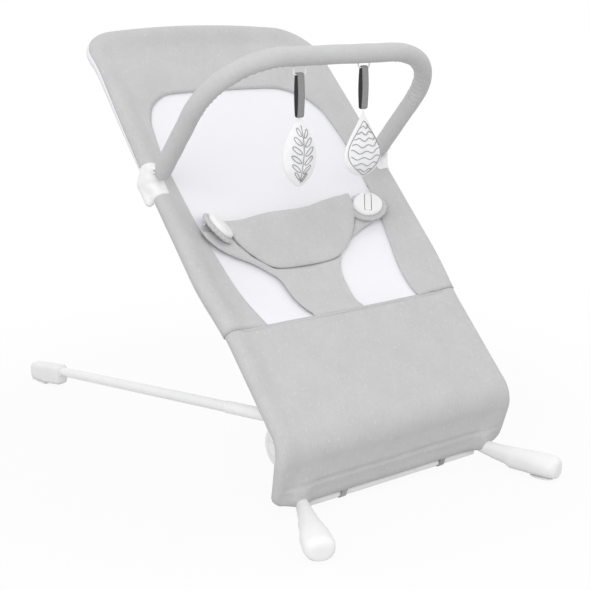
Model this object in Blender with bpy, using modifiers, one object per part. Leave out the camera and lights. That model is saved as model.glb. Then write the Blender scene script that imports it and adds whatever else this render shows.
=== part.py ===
"""Baby bouncer: a fabric sling on a tubular hoop that reclines on a low steel base, with a padded toy bar.

Metres, +Z up. The foot end faces -Y and the head end +Y. The origin is on the floor, under the middle
of the part. The rest pose is the upright recline step, with the toy bar square to the seat.
"""

import math

import bmesh
import bpy
from mathutils import Vector

# Clearances, cloth and tube walls
GAP = 0.0003
FABRIC = 0.0016
LINER = 0.0012
OVERCUT = 0.0010
TUBE_WALL = 0.0012
TUBE_SIDES = 3
DISC_SIDES = 32
ROD_SIDES = 20
PEG_SIDES = 16
ROUTE_STEP = math.radians(12.0)
EDGE_ROUNDING = 0.0010

# Where the seat turns on the base
PIVOT_HEIGHT = 0.0916
FRONT_REACH = 0.1365
REAR_REACH = 0.6600
PIVOT_Y = (FRONT_REACH - REAR_REACH) / 2.0
RECLINE = math.radians(43.4)

# Seat hoop: the bent tube that stretches the sling
HOOP_RADIUS = 0.0080
HOOP_HALF_WIDTH = 0.1935
HOOP_KNEE_HALF_WIDTH = 0.1840
HOOP_TAPER_END = 0.2200
HOOP_LENGTH = 0.6890
HOOP_CROWN = 0.0110
HOOP_CORNER = 0.0400
KNEE_RADIUS = 0.0350
KNEE_TUBE_RADIUS = 0.0270
KNEE_DROP_ENDS_AT = 0.0800
HOOP_WRAP = math.radians(9.0)
KNUCKLE_WRAP = math.radians(18.0)
SLEEVE_RADIUS = HOOP_RADIUS + GAP + FABRIC
SLEEVE_START = 0.0240

# Sling: the cloth inside the hoop, measured up the seat from the knee
PANEL_CELLS = (10, 18)
PANEL_SAG = 0.0400
PANEL_LIFT = 0.0040
PANEL_KNEE_LIFT = 0.0012
PANEL_KNEE_WRAP = math.radians(16.0)
SEAM_AT = 0.1520
SAG_FULL_AT = 0.2430
SAG_FADES_AT = 0.4330
SAG_ENDS_AT = 0.7030
WINDOW_HALF_AT_SEAM = 0.1305
WINDOW_HALF = 0.1595
WINDOW_WIDEST_AT = 0.3600
WINDOW_TOP = 0.5800
WINDOW_SHOULDER = 0.5600
WINDOW_CORNER = 0.0550

# Waist belt with its crotch strap, one T of padded cloth
BELT_CELLS = (16, 11)
BELT_THICKNESS = 0.0080
BELT_HALF_LENGTH = 0.1350
BELT_TOP = 0.3380
BELT_END_LOW = 0.3020
BELT_END_CORNER = 0.0140
CROTCH_HALF_WIDTH = 0.0445
CROTCH_FLARE_AT = 0.2500
CROTCH_FLARE_RADIUS = 0.0500
BELT_LIFT = 0.0056
BELT_TOP_LIFT = 0.0240
BELT_END_LIFT = 0.0092

# Buckles that hold the belt's ends
BUCKLE_X = 0.1340
BUCKLE_AT = 0.3214
BUCKLE_RADIUS = 0.0230
BUCKLE_THICKNESS = 0.0080
BUCKLE_TAB_RADIUS = 0.0290
BUCKLE_TAB_THICKNESS = 0.0070
ANCHOR_RADIUS = 0.0160
ANCHOR_THICKNESS = 0.0040
STUD_RADIUS = 0.0050
PRESS_LENGTH = 0.0264
PRESS_WIDTH = 0.0104
PRESS_THICKNESS = 0.0053
PRESS_PROUD = 0.0008

# Toy bar and the clamps that carry it on the hoop
CLAMP_AT = 0.4040
CLAMP_LENGTH = 0.0520
CLAMP_WALL = 0.0032
CLAMP_EAR_THICKNESS = 0.0040
CLAMP_EAR_RADIUS = 0.0100
CLAMP_LEVER_OUT = 0.0100
CLAMP_LEVER_BACK = 0.0115
CLAMP_LEVER_RADIUS = 0.0085
CLAMP_LEVER_LENGTH = 0.0420
CLAMP_MOUTH_LOW = -0.0045
CLAMP_MOUTH_HIGH = 0.0085
TOYBAR_PIVOT_LIFT = 0.0272
TOYBAR_HALF_WIDTH = 0.1900
TOYBAR_TOP_HALF_WIDTH = 0.1870
TOYBAR_HEIGHT = 0.2150
TOYBAR_CORNER = 0.1000
TOYBAR_CORE_RADIUS = 0.0080
TOYBAR_COVER_RADIUS = 0.0127
COVER_END_TURNS = (20.0, 45.0, 68.0, 90.0)
TOYBAR_PLUG_RADIUS = 0.0076
TOYBAR_PLUG_LENGTH = 0.0180
TOYBAR_SPIGOT_LENGTH = 0.0150
PIVOT_PIN_RADIUS = 0.0040

# Toys on their straps
TOY_X = (-0.0670, 0.0380)
TOY_WIDTH = (0.0535, 0.0630)
TOY_LENGTH = (0.0900, 0.0915)
TOY_THICKNESS = (0.0180, 0.0190)
TOY_TAPER = (1.25, 1.90)
LEAF_BLUNT = 0.01
LEAF_FULLNESS = 0.60
LEAF_PUFF = 1.3
LEAF_EDGE = 1.2
LEAF_ROWS = 14
LEAF_SIDES = 16
STRAP_WIDTH = 0.0120
STRAP_THICKNESS = 0.0013
STRAP_LENGTH = 0.0532
STRAP_BEND = 0.0024
STRAP_TURNS = 8
CLIP_WIRE = 0.0011
CLIP_DROP = (0.0105, 0.0056)
WIRE_STEP = math.radians(30.0)
STRAP_SLACK = STRAP_BEND - CLIP_WIRE - GAP

# Base tubes
LEG_RADIUS = 0.0085
LEG_HUB_X = 0.1572
LEG_START_BACK = 0.0080
LEG_START_RISE = 0.0060
LEG_REAR_X = 0.2210
LEG_REAR_Z = 0.0240
LEG_TOP_Z = 0.1225
LEG_TOP_REACH = 0.0330
LEG_BEND = 0.0260
LEG_SPLIT = 0.1080
LEG_SPIGOT = 0.0250
CROSSBAR_RADIUS = 0.0050
CROSSBAR_Z = 0.0246
CROSSBAR_AHEAD = 0.0340
HEM_ROD_RADIUS = 0.0040
HEM_ROD_CORNER = 0.0160
HEM_ROD_AHEAD = 0.0300
HEM_ROD_Z = 0.0358
HEM_ROD_HALF_WIDTH = 0.1820
HEM_FOLD_RADIUS = HEM_ROD_RADIUS + GAP + FABRIC / 2.0
HEM_ROD_START = math.radians(34.0)
HEM_FOLD_WRAP = math.radians(170.0)
FLAP_ROWS = 4
FOLD_ROWS = 8
STEM_NOTCH_HALF = 0.0110

# Hubs: a fixed housing inside, and the seat's plate turning on its boss outside
HUB_RADIUS = 0.0260
HUB_INNER = 0.1460
HUB_FACE = 0.1685
PLATE_THICKNESS = 0.0055
BOSS_RADIUS = 0.0160
HUB_BUTTON_RADIUS = 0.0100
HUB_BUTTON_LENGTH = 0.0085
HUB_BUTTON_PROUD = 0.0030
HUB_RECESS_DEPTH = 0.0080
HUB_RING_RADIUS = 0.0205
HUB_RING_THICKNESS = 0.0012
HUB_COVER_THICKNESS = 0.0030
CUP_RADIUS = 0.0065
CUP_WRAP = math.radians(24.0)
CUP_ARM_INSET = 0.0060

# Feet
FOOT_NECK_X = 0.1580
FOOT_TOE_X = 0.1985
FOOT_NECK_WIDTH = 0.0180
FOOT_TOE_WIDTH = 0.0430
STEM_TOP_AHEAD = 0.0060
STEM_TOP_DROP = 0.0100
STEM_STRAIGHT = 0.6
STEM_NOTCH_TOP = 0.0560
FOOT_CLEAR = 0.0020
FOOT_STATIONS = ((0.00, 0.05), (0.16, 0.12), (0.36, 0.34), (0.60, 0.66), (0.82, 0.92), (1.00, 1.00))
FOOT_TOP_HEIGHTS = (0.0350, 0.0290, 0.0250, 0.0235, 0.0220, 0.0200)
FOOT_TOE_TURNS = [math.radians(degrees) for degrees in (25.0, 48.0, 66.0, 80.0)]
TOE_BLUNTNESS = 0.7
SOLE_SHARE = 0.55
SOLE_HEEL_AT = 0.6
SOLE_THICKNESS = FOOT_CLEAR - GAP
CAP_LENGTH = 0.0740
CAP_WIDTH = 0.0280
CAP_RISE = 0.0120
CAP_DROP = 0.0260
CAP_ROUNDING = 0.0070
CAP_SOCKET = 0.0480
CAP_END_STEPS = (0.0, 0.3, 1.0)

# Metal clips that hook the hem to the crossbar
HEM_CLIP_X = 0.0860
HEM_CLIP_WIDTH = 0.0090
HEM_CLIP_THICKNESS = 0.0012
HEM_CLIP_LIP = 0.0030

SIDES = {"left": -1.0, "right": 1.0}


def clear_scene():
    """Remove every object that the scene starts with."""
    for item in list(bpy.data.objects):
        bpy.data.objects.remove(item, do_unlink=True)


def collection(name):
    """A collection linked to the scene."""
    made = bpy.data.collections.new(name)
    bpy.context.scene.collection.children.link(made)
    return made


def material(name, colour, roughness, metallic=0.0):
    """A Principled material with one plain colour."""
    made = bpy.data.materials.new(name)
    made.use_nodes = True
    shader = made.node_tree.nodes["Principled BSDF"]
    shader.inputs["Base Color"].default_value = (*colour, 1.0)
    shader.inputs["Roughness"].default_value = roughness
    shader.inputs["Metallic"].default_value = metallic
    made.diffuse_color = (*colour, 1.0)
    return made


clear_scene()
PARTS = collection("baby_bouncer")
CUTTERS = collection("cutters")
WHITE_PLASTIC = material("white_plastic", (0.86, 0.86, 0.87), 0.35)
WHITE_ENAMEL = material("white_enamel", (0.84, 0.84, 0.85), 0.30)
GREY_CLOTH = material("grey_melange_cloth", (0.52, 0.52, 0.53), 0.95)
WHITE_MESH = material("white_mesh_cloth", (0.83, 0.83, 0.86), 0.90)
DARK_WEBBING = material("dark_webbing", (0.16, 0.16, 0.17), 0.90)
TOY_CLOTH = material("toy_cloth", (0.82, 0.82, 0.83), 0.95)
STEEL = material("bare_steel", (0.55, 0.55, 0.56), 0.30, 1.0)
RUBBER = material("clear_grey_rubber", (0.60, 0.60, 0.62), 0.80)


# Frames: empties that carry the pieces of each moving group

def frame(name, location, tilt=(0.0, 0.0, 0.0), parent=None):
    """An empty that pieces are parented to."""
    made = bpy.data.objects.new(name, None)
    made.location = location
    made.rotation_euler = tilt
    made.parent = parent
    PARTS.objects.link(made)
    return made


def sling_edge(u):
    """Height of the sling's side edges over the hoop's centre line, at u up the seat."""
    share = min(max(u / SEAM_AT, 0.0), 1.0)
    ease = share * share * (3.0 - 2.0 * share)
    return PANEL_KNEE_LIFT + (PANEL_LIFT - PANEL_KNEE_LIFT) * ease


def sling_sag(u):
    """Depth of the sling's sag in the middle, at u up the seat."""
    if u < SEAM_AT:
        return 0.0
    if u < SAG_FULL_AT:
        return PANEL_SAG * (1.0 - ((SAG_FULL_AT - u) / (SAG_FULL_AT - SEAM_AT)) ** 2)
    if u < SAG_FADES_AT:
        return PANEL_SAG
    fade = min((u - SAG_FADES_AT) / (SAG_ENDS_AT - SAG_FADES_AT), 1.0)
    return PANEL_SAG * (1.0 - fade * fade)


def sling_height(x, u):
    """Height of the sling's middle surface over the hoop's centre line."""
    share = min(abs(x) / (hoop_half_width(u) - SLEEVE_RADIUS), 1.0)
    return sling_edge(u) - sling_sag(u) * (1.0 - share * share)


def hoop_half_width(u):
    """Half width of the hoop's centre line, at u up the seat."""
    share = min(max(u / HOOP_TAPER_END, 0.0), 1.0)
    return HOOP_KNEE_HALF_WIDTH + (HOOP_HALF_WIDTH - HOOP_KNEE_HALF_WIDTH) * share


def hoop_height(u):
    """Height of the hoop's centre line over its main plane, which it leaves to turn round the hub."""
    share = min(max(u / KNEE_DROP_ENDS_AT, 0.0), 1.0)
    ease = share * share * (3.0 - 2.0 * share)
    return (KNEE_TUBE_RADIUS - KNEE_RADIUS) * (1.0 - ease)


def toy_hang(n):
    """Where a toy's clip wire runs: straight under the bar, given in the bar's frame."""
    below = TOYBAR_COVER_RADIUS + CLIP_DROP[n]
    return TOY_X[n], -below * math.sin(RECLINE), TOYBAR_HEIGHT - below * math.cos(RECLINE)


BASE = frame("base_frame", (0.0, 0.0, 0.0))
SEAT = frame("seat_frame", (0.0, PIVOT_Y, PIVOT_HEIGHT), (RECLINE, 0.0, 0.0))
TOYBAR = frame("toybar_frame", (0.0, CLAMP_AT, KNEE_RADIUS + TOYBAR_PIVOT_LIFT), parent=SEAT)
UPRIGHT = (-RECLINE, 0.0, 0.0)
TOYS = [frame(f"toy_frame_{n}", toy_hang(n), UPRIGHT, TOYBAR) for n in range(len(TOY_X))]
HUBS = {name: frame(f"hub_frame_{name}", (0.0, PIVOT_Y, PIVOT_HEIGHT)) for name in SIDES}


def buckle_frame(name, side):
    """The frame of one buckle: on the sling's face, its Z square to the cloth."""
    inner_half = hoop_half_width(BUCKLE_AT) - SLEEVE_RADIUS
    slope = math.atan(2.0 * sling_sag(BUCKLE_AT) * BUCKLE_X / inner_half**2)
    height = KNEE_RADIUS + sling_height(BUCKLE_X, BUCKLE_AT)
    spot = (side * BUCKLE_X, BUCKLE_AT, height)
    return frame(f"buckle_frame_{name}", spot, (0.0, -side * slope, 0.0), SEAT)


BUCKLES = {name: buckle_frame(name, side) for name, side in SIDES.items()}


# Shared modelling helpers

def add(name, mesh, finish, parent, smooth=True):
    """Put a mesh in the parts collection as a named piece."""
    mesh.materials.clear()
    mesh.materials.append(finish)
    if smooth:
        mesh.shade_smooth()
        mesh.set_sharp_from_angle(angle=math.radians(35.0))
    made = bpy.data.objects.new(name, mesh)
    made.parent = parent
    PARTS.objects.link(made)
    return made


def cutter(name, mesh, parent):
    """Put a mesh in the cutters collection, out of the model."""
    made = bpy.data.objects.new(name, mesh)
    made.parent = parent
    made.hide_render = True
    made.display_type = "WIRE"
    CUTTERS.objects.link(made)
    return made


def boolean(target, other, operation):
    """Cut, join or intersect a piece with a cutter."""
    step = target.modifiers.new(f"{operation.lower()}_{other.name}", "BOOLEAN")
    step.operation = operation
    step.solver = "EXACT"
    step.object = other


def round_edges(target, width, segments=2):
    """Bevel the sharp edges of a piece."""
    step = target.modifiers.new("rounded_edges", "BEVEL")
    step.width = width
    step.segments = segments
    step.limit_method = "ANGLE"
    step.angle_limit = math.radians(50.0)


def tube_mesh(points, radius, scales=None, resolution=TUBE_SIDES):
    """The closed mesh of a round rod along a route."""
    data = bpy.data.curves.new("route", "CURVE")
    data.dimensions = "3D"
    data.bevel_depth = radius
    data.bevel_resolution = resolution
    data.use_fill_caps = True
    spline = data.splines.new("POLY")
    spline.points.add(len(points) - 1)
    for index, point in enumerate(points):
        spline.points[index].co = (*point, 1.0)
        spline.points[index].radius = 1.0 if scales is None else scales[index]
    return curve_to_mesh(data)


def plate_mesh(outline, thickness):
    """The closed mesh of a flat plate with this outline, centred on its own plane."""
    data = bpy.data.curves.new("outline", "CURVE")
    data.dimensions = "2D"
    data.fill_mode = "BOTH"
    data.extrude = thickness / 2.0
    spline = data.splines.new("POLY")
    spline.points.add(len(outline) - 1)
    for index, (x, y) in enumerate(outline):
        spline.points[index].co = (x, y, 0.0, 1.0)
    spline.use_cyclic_u = True
    return curve_to_mesh(data)


def curve_to_mesh(data):
    """Turn a curve into a mesh with its caps welded on."""
    temporary = bpy.data.objects.new("temporary", data)
    bpy.context.scene.collection.objects.link(temporary)
    graph = bpy.context.evaluated_depsgraph_get()
    mesh = bpy.data.meshes.new_from_object(temporary.evaluated_get(graph))
    bpy.data.objects.remove(temporary, do_unlink=True)
    bpy.data.curves.remove(data)
    edit = bmesh.new()
    edit.from_mesh(mesh)
    bmesh.ops.remove_doubles(edit, verts=edit.verts, dist=0.000001)
    bmesh.ops.recalc_face_normals(edit, faces=edit.faces)
    edit.to_mesh(mesh)
    edit.free()
    return mesh


def cylinder_mesh(start, end, radius, sides=DISC_SIDES):
    """A closed cylinder between two points."""
    start = Vector(start)
    end = Vector(end)
    along = end - start
    edit = bmesh.new()
    bmesh.ops.create_cone(
        edit, cap_ends=True, segments=sides, radius1=radius, radius2=radius, depth=along.length
    )
    turn = Vector((0.0, 0.0, 1.0)).rotation_difference(along).to_matrix().to_4x4()
    bmesh.ops.transform(edit, matrix=turn, verts=edit.verts)
    bmesh.ops.translate(edit, vec=(start + end) / 2.0, verts=edit.verts)
    mesh = bpy.data.meshes.new("cylinder")
    edit.to_mesh(mesh)
    edit.free()
    return mesh


def box_mesh(low, high):
    """A closed box between two corners."""
    low = Vector(low)
    high = Vector(high)
    edit = bmesh.new()
    bmesh.ops.create_cube(edit, size=1.0)
    bmesh.ops.scale(edit, vec=high - low, verts=edit.verts)
    bmesh.ops.translate(edit, vec=(low + high) / 2.0, verts=edit.verts)
    mesh = bpy.data.meshes.new("box")
    edit.to_mesh(mesh)
    edit.free()
    return mesh


def loft_mesh(rings):
    """A closed skin over a row of rings that have the same number of points."""
    edit = bmesh.new()
    rows = [[edit.verts.new(point) for point in ring] for ring in rings]
    count = len(rings[0])
    for one, two in zip(rows, rows[1:]):
        for k in range(count):
            edit.faces.new((one[k], one[(k + 1) % count], two[(k + 1) % count], two[k]))
    edit.faces.new(rows[0])
    edit.faces.new(rows[-1])
    bmesh.ops.recalc_face_normals(edit, faces=edit.faces)
    mesh = bpy.data.meshes.new("loft")
    edit.to_mesh(mesh)
    edit.free()
    return mesh


def sheet_mesh(columns, rows, place):
    """An open grid whose points are placed by place(a, b), a and b running from 0 to 1."""
    edit = bmesh.new()
    bmesh.ops.create_grid(edit, x_segments=columns, y_segments=rows, size=0.5)
    for vert in edit.verts:
        vert.co = place(vert.co.x + 0.5, vert.co.y + 0.5)
    bmesh.ops.triangulate(edit, faces=edit.faces, quad_method="FIXED")
    mesh = bpy.data.meshes.new("sheet")
    edit.to_mesh(mesh)
    edit.free()
    return mesh


def thicken(target, thickness):
    """Give an open sheet its thickness, half to each side."""
    step = target.modifiers.new("thickness", "SOLIDIFY")
    step.thickness = thickness
    step.offset = 0.0


def rounded_route(corners, step=ROUTE_STEP):
    """A route through corners given as (point, fillet radius), with each corner turned as an arc."""
    points = [Vector(corners[0][0])]
    for (before, _), (corner, radius), (after, _) in zip(corners, corners[1:], corners[2:]):
        before, corner, after = Vector(before), Vector(corner), Vector(after)
        towards = (before - corner).normalized()
        away = (after - corner).normalized()
        turn = math.pi - towards.angle(away)
        if radius <= 0.0 or turn < 0.001:
            points.append(corner)
            continue
        setback = radius * math.tan(turn / 2.0)
        centre = corner + (towards + away).normalized() * (radius / math.cos(turn / 2.0))
        start = corner + towards * setback - centre
        side = (corner + away * setback - centre - start * math.cos(turn)) / math.sin(turn)
        count = max(2, math.ceil(turn / step))
        for k in range(count + 1):
            angle = turn * k / count
            points.append(centre + start * math.cos(angle) + side * math.sin(angle))
    points.append(Vector(corners[-1][0]))
    return points


def mirrored(half):
    """A whole outline from its right half, given from bottom to top."""
    return half + [(-x, y) for x, y in reversed(half)]


def along_x(side, near, far, radius, sides=DISC_SIDES):
    """A cylinder on the hub's axis, from one distance off the middle to another."""
    return cylinder_mesh((side * near, 0.0, 0.0), (side * far, 0.0, 0.0), radius, sides)


def rim_point(angle, radius=KNEE_TUBE_RADIUS):
    """A point around the pivot, in the seat's frame, angle past the end of the straight side."""
    return -radius * math.sin(angle), radius * math.cos(angle)


def seat_point(x, u, height):
    """A point over the hoop's plane, which rolls round the pivot below the knee."""
    reach = KNEE_RADIUS + height
    if u >= 0.0:
        return Vector((x, u, reach))
    y, z = rim_point(-u / KNEE_RADIUS, reach)
    return Vector((x, y, z))


# Seat: hoop, sleeve and sling

def hoop_outline(inset=0.0):
    """Right half of the hoop's line in its plane, from the knee to the crown, drawn in by inset."""
    corners = [
        ((HOOP_KNEE_HALF_WIDTH - inset, 0.0, 0.0), 0.0),
        ((HOOP_HALF_WIDTH - inset, HOOP_TAPER_END, 0.0), HOOP_TAPER_END),
        ((HOOP_HALF_WIDTH - inset, HOOP_LENGTH - HOOP_CROWN - inset, 0.0), HOOP_CORNER - inset),
        ((0.0, HOOP_LENGTH - inset, 0.0), 0.0),
    ]
    return rounded_route(corners)


def hoop_route(start):
    """The hoop's centre line from its left end to its right end, in the seat's frame."""
    knee = [KNEE_DROP_ENDS_AT * share for share in (0.0, 0.25, 0.5, 0.75, 1.0)]
    wrap = [start * share for share in (0.9, 0.4) if start < 0.0]
    begin = [start] + wrap + [u for u in knee if u > start]
    right = [seat_point(hoop_half_width(u), u, hoop_height(u)) for u in begin]
    right += [seat_point(p.x, p.y, 0.0) for p in hoop_outline() if p.y > 2.0 * KNEE_DROP_ENDS_AT]
    left = [Vector((-p.x, p.y, p.z)) for p in right[:-1]]
    return left + [right[-1]] + right[-2::-1]


def hollow(name, outer, inner, finish, parent):
    """A tube or cover: an outer body with an inner one cut out of it."""
    made = add(name, outer, finish, parent)
    boolean(made, cutter(f"{name}_bore", inner, parent), "DIFFERENCE")
    return made


def stretched(points, extra):
    """A route that runs on past both its ends."""
    first = points[0] + (points[0] - points[1]).normalized() * extra
    last = points[-1] + (points[-1] - points[-2]).normalized() * extra
    return [first] + points[1:-1] + [last]


def seat_hoop():
    """The hoop's tube, open at both ends."""
    route = hoop_route(-KNEE_RADIUS * HOOP_WRAP)
    inner = tube_mesh(stretched(route, OVERCUT), HOOP_RADIUS - TUBE_WALL, resolution=2)
    hollow("seat_hoop", tube_mesh(route, HOOP_RADIUS), inner, WHITE_ENAMEL, SEAT)


def hoop_sleeve():
    """The sling's sleeve, sewn round the hoop."""
    route = hoop_route(SLEEVE_START)
    inner = tube_mesh(stretched(route, OVERCUT), HOOP_RADIUS + GAP)
    hollow("sling_sleeve", tube_mesh(route, SLEEVE_RADIUS), inner, GREY_CLOTH, SEAT)


def sling_sheet(columns, rows, drop):
    """The sling's surface, a little wider and longer than the hoop, lowered by drop."""
    low = -KNEE_RADIUS * PANEL_KNEE_WRAP
    high = HOOP_LENGTH + SLEEVE_RADIUS
    half = HOOP_HALF_WIDTH + SLEEVE_RADIUS

    def place(a, b):
        x = (2.0 * a - 1.0) * half
        u = low + (high - low) * b
        return seat_point(x, u, sling_height(x, u) - drop)

    return sheet_mesh(columns, rows, place)


def hoop_prism(name, inset):
    """A tall prism that fills the hoop's inside, drawn in by inset from its centre line."""
    half = [(p.x, p.y) for p in hoop_outline(inset)]
    below = [(half[0][0], -2.0 * KNEE_RADIUS)]
    prism = cutter(name, plate_mesh(mirrored(below + half[:-1]), 4.0 * KNEE_RADIUS), SEAT)
    prism.location = (0.0, 0.0, KNEE_RADIUS)
    return prism


def window_prism():
    """The cutter of the big mesh window, from the lower seam to the head rest."""
    corners = [
        ((WINDOW_HALF_AT_SEAM, SEAM_AT, 0.0), 0.0),
        ((WINDOW_HALF, WINDOW_WIDEST_AT, 0.0), WINDOW_WIDEST_AT),
        ((WINDOW_HALF - GAP, WINDOW_SHOULDER, 0.0), WINDOW_CORNER),
        ((0.0, WINDOW_TOP, 0.0), 0.0),
    ]
    half = [(p.x, p.y) for p in rounded_route(corners)]
    prism = cutter("window_prism", plate_mesh(mirrored(half[:-1]), 4.0 * KNEE_RADIUS), SEAT)
    prism.location = (0.0, 0.0, KNEE_RADIUS)
    return prism


def sling_panels():
    """The grey cloth with its big window, and the white mesh that lines it from behind."""
    prism = hoop_prism("hoop_prism", SLEEVE_RADIUS + GAP)
    panel = add("sling_panel", sling_sheet(*PANEL_CELLS, 0.0), GREY_CLOTH, SEAT)
    thicken(panel, FABRIC)
    boolean(panel, prism, "INTERSECT")
    boolean(panel, window_prism(), "DIFFERENCE")
    drop = (FABRIC + LINER) / 2.0 + 4.0 * GAP
    liner = add("mesh_liner", sling_sheet(*PANEL_CELLS, drop), WHITE_MESH, SEAT)
    thicken(liner, LINER)
    boolean(liner, prism, "INTERSECT")


def belt_height(x, u):
    """Height of the belt's middle surface over the hoop's centre line."""
    share = min(max((u - CROTCH_FLARE_AT) / (BELT_TOP - CROTCH_FLARE_AT), 0.0), 1.0)
    ease = share * share * (3.0 - 2.0 * share)
    across = min((x / (BUCKLE_X - BUCKLE_TAB_RADIUS)) ** 2, 1.0)
    top = BELT_TOP_LIFT * (1.0 - across) + BELT_END_LIFT * across
    return sling_height(x, u) + BELT_LIFT + (top - BELT_LIFT) * ease


def waist_belt():
    """The padded T of belt and crotch strap, cut from one thick sheet."""
    low, high = SEAM_AT, BELT_TOP
    half = BELT_HALF_LENGTH + BELT_END_CORNER

    def place(a, b):
        x = (2.0 * a - 1.0) * half
        u = low + (high - low + BELT_THICKNESS / 2.0) * b
        return seat_point(x, u, belt_height(x, u))

    corners = [
        ((CROTCH_HALF_WIDTH, low - BELT_THICKNESS, 0.0), 0.0),
        ((CROTCH_HALF_WIDTH, CROTCH_FLARE_AT, 0.0), CROTCH_FLARE_RADIUS),
        ((BELT_HALF_LENGTH, BELT_END_LOW, 0.0), BELT_END_CORNER),
        ((BELT_HALF_LENGTH, high, 0.0), BELT_END_CORNER),
        ((0.0, high, 0.0), 0.0),
    ]
    outline = [(p.x, p.y) for p in rounded_route(corners)]
    prism = cutter("belt_prism", plate_mesh(mirrored(outline[:-1]), 4.0 * KNEE_RADIUS), SEAT)
    prism.location = (0.0, 0.0, KNEE_RADIUS)
    belt = add("waist_belt", sheet_mesh(*BELT_CELLS, place), GREY_CLOTH, SEAT)
    thicken(belt, BELT_THICKNESS)
    boolean(belt, prism, "INTERSECT")
    for name in SIDES:
        low_z, high_z = -BUCKLE_TAB_RADIUS, BUCKLE_TAB_RADIUS
        room = cylinder_mesh((0.0, 0.0, low_z), (0.0, 0.0, high_z), BUCKLE_TAB_RADIUS + GAP)
        boolean(belt, cutter(f"belt_end_{name}", room, BUCKLES[name]), "DIFFERENCE")


def buckle(name):
    """One belt buckle: the anchor on the sling, the cloth tab, the round buckle and its press bar."""
    place = BUCKLES[name]
    anchor_low = FABRIC / 2.0 + 2.0 * GAP
    tab_low = anchor_low + ANCHOR_THICKNESS + GAP
    body_low = tab_low + BUCKLE_TAB_THICKNESS + GAP
    body_high = body_low + BUCKLE_THICKNESS
    press_high = body_high + PRESS_PROUD

    def disc(low, high, radius, sides=DISC_SIDES):
        return cylinder_mesh((0.0, 0.0, low), (0.0, 0.0, high), radius, sides)

    anchor = add(f"belt_anchor_{name}", disc(anchor_low, tab_low - GAP, ANCHOR_RADIUS), WHITE_PLASTIC, place)
    stud = disc(anchor_low + ANCHOR_THICKNESS / 2.0, body_low + GAP, STUD_RADIUS, PEG_SIDES)
    boolean(anchor, cutter(f"stud_{name}", stud, place), "UNION")
    tab = add(f"belt_tab_{name}", disc(tab_low, body_low - GAP, BUCKLE_TAB_RADIUS), GREY_CLOTH, place)
    hole = disc(tab_low - OVERCUT, body_low, STUD_RADIUS + GAP, PEG_SIDES)
    boolean(tab, cutter(f"tab_hole_{name}", hole, place), "DIFFERENCE")
    body = add(f"buckle_{name}", disc(body_low, body_high, BUCKLE_RADIUS), WHITE_PLASTIC, place)
    half_wide = PRESS_WIDTH / 2.0 + GAP
    half_long = PRESS_LENGTH / 2.0 + GAP
    slot = box_mesh((-half_wide, -half_long, body_low - OVERCUT), (half_wide, half_long, body_high + OVERCUT))
    boolean(body, cutter(f"press_slot_{name}", slot, place), "DIFFERENCE")
    low = (-PRESS_WIDTH / 2.0, -PRESS_LENGTH / 2.0, press_high - PRESS_THICKNESS)
    press = box_mesh(low, (PRESS_WIDTH / 2.0, PRESS_LENGTH / 2.0, press_high))
    round_edges(add(f"buckle_button_{name}", press, WHITE_PLASTIC, place), EDGE_ROUNDING)


# Toy bar

def clamp(name, side):
    """One open clamp on the hoop's sleeve, with the ear that the toy bar turns on."""
    x = side * HOOP_HALF_WIDTH
    inner = SLEEVE_RADIUS + GAP
    outer = inner + CLAMP_WALL
    low, high = CLAMP_AT - CLAMP_LENGTH / 2.0, CLAMP_AT + CLAMP_LENGTH / 2.0
    ring = cylinder_mesh((x, low, KNEE_RADIUS), (x, high, KNEE_RADIUS), outer)
    made = add(f"toybar_clamp_{name}", ring, WHITE_PLASTIC, SEAT)
    ear_in = side * (TOYBAR_HALF_WIDTH + TOYBAR_COVER_RADIUS + GAP)
    ear_out = ear_in + side * CLAMP_EAR_THICKNESS
    pivot_z = KNEE_RADIUS + TOYBAR_PIVOT_LIFT
    x_low, x_high = sorted((ear_in, ear_out))
    web = box_mesh(
        (x_low, CLAMP_AT - CLAMP_EAR_RADIUS, KNEE_RADIUS - GAP),
        (x_high, CLAMP_AT + CLAMP_EAR_RADIUS, pivot_z),
    )
    boolean(made, cutter(f"ear_web_{name}", web, SEAT), "UNION")
    eye = cylinder_mesh((ear_in, CLAMP_AT, pivot_z), (ear_out, CLAMP_AT, pivot_z), CLAMP_EAR_RADIUS)
    boolean(made, cutter(f"ear_eye_{name}", eye, SEAT), "UNION")
    lever_x, lever_z = x + side * CLAMP_LEVER_OUT, KNEE_RADIUS - CLAMP_LEVER_BACK
    half = CLAMP_LEVER_LENGTH / 2.0
    lever_ends = [(lever_x, CLAMP_AT - half, lever_z), (lever_x, CLAMP_AT + half, lever_z)]
    lever = cylinder_mesh(*lever_ends, CLAMP_LEVER_RADIUS, ROD_SIDES)
    boolean(made, cutter(f"clamp_lever_{name}", lever, SEAT), "UNION")
    bore = cylinder_mesh((x, low - OVERCUT, KNEE_RADIUS), (x, high + OVERCUT, KNEE_RADIUS), inner)
    boolean(made, cutter(f"clamp_bore_{name}", bore, SEAT), "DIFFERENCE")
    mouth_near, mouth_far = sorted((x, x - side * 2.0 * outer))
    mouth = box_mesh(
        (mouth_near, low - OVERCUT, KNEE_RADIUS + CLAMP_MOUTH_LOW),
        (mouth_far, high + OVERCUT, KNEE_RADIUS + CLAMP_MOUTH_HIGH),
    )
    boolean(made, cutter(f"clamp_mouth_{name}", mouth, SEAT), "DIFFERENCE")
    pin_room = cylinder_mesh(
        (ear_in - side * OVERCUT, CLAMP_AT, pivot_z), (ear_out + side * OVERCUT, CLAMP_AT, pivot_z),
        PIVOT_PIN_RADIUS + GAP, ROD_SIDES,
    )
    boolean(made, cutter(f"ear_bore_{name}", pin_room, SEAT), "DIFFERENCE")


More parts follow.
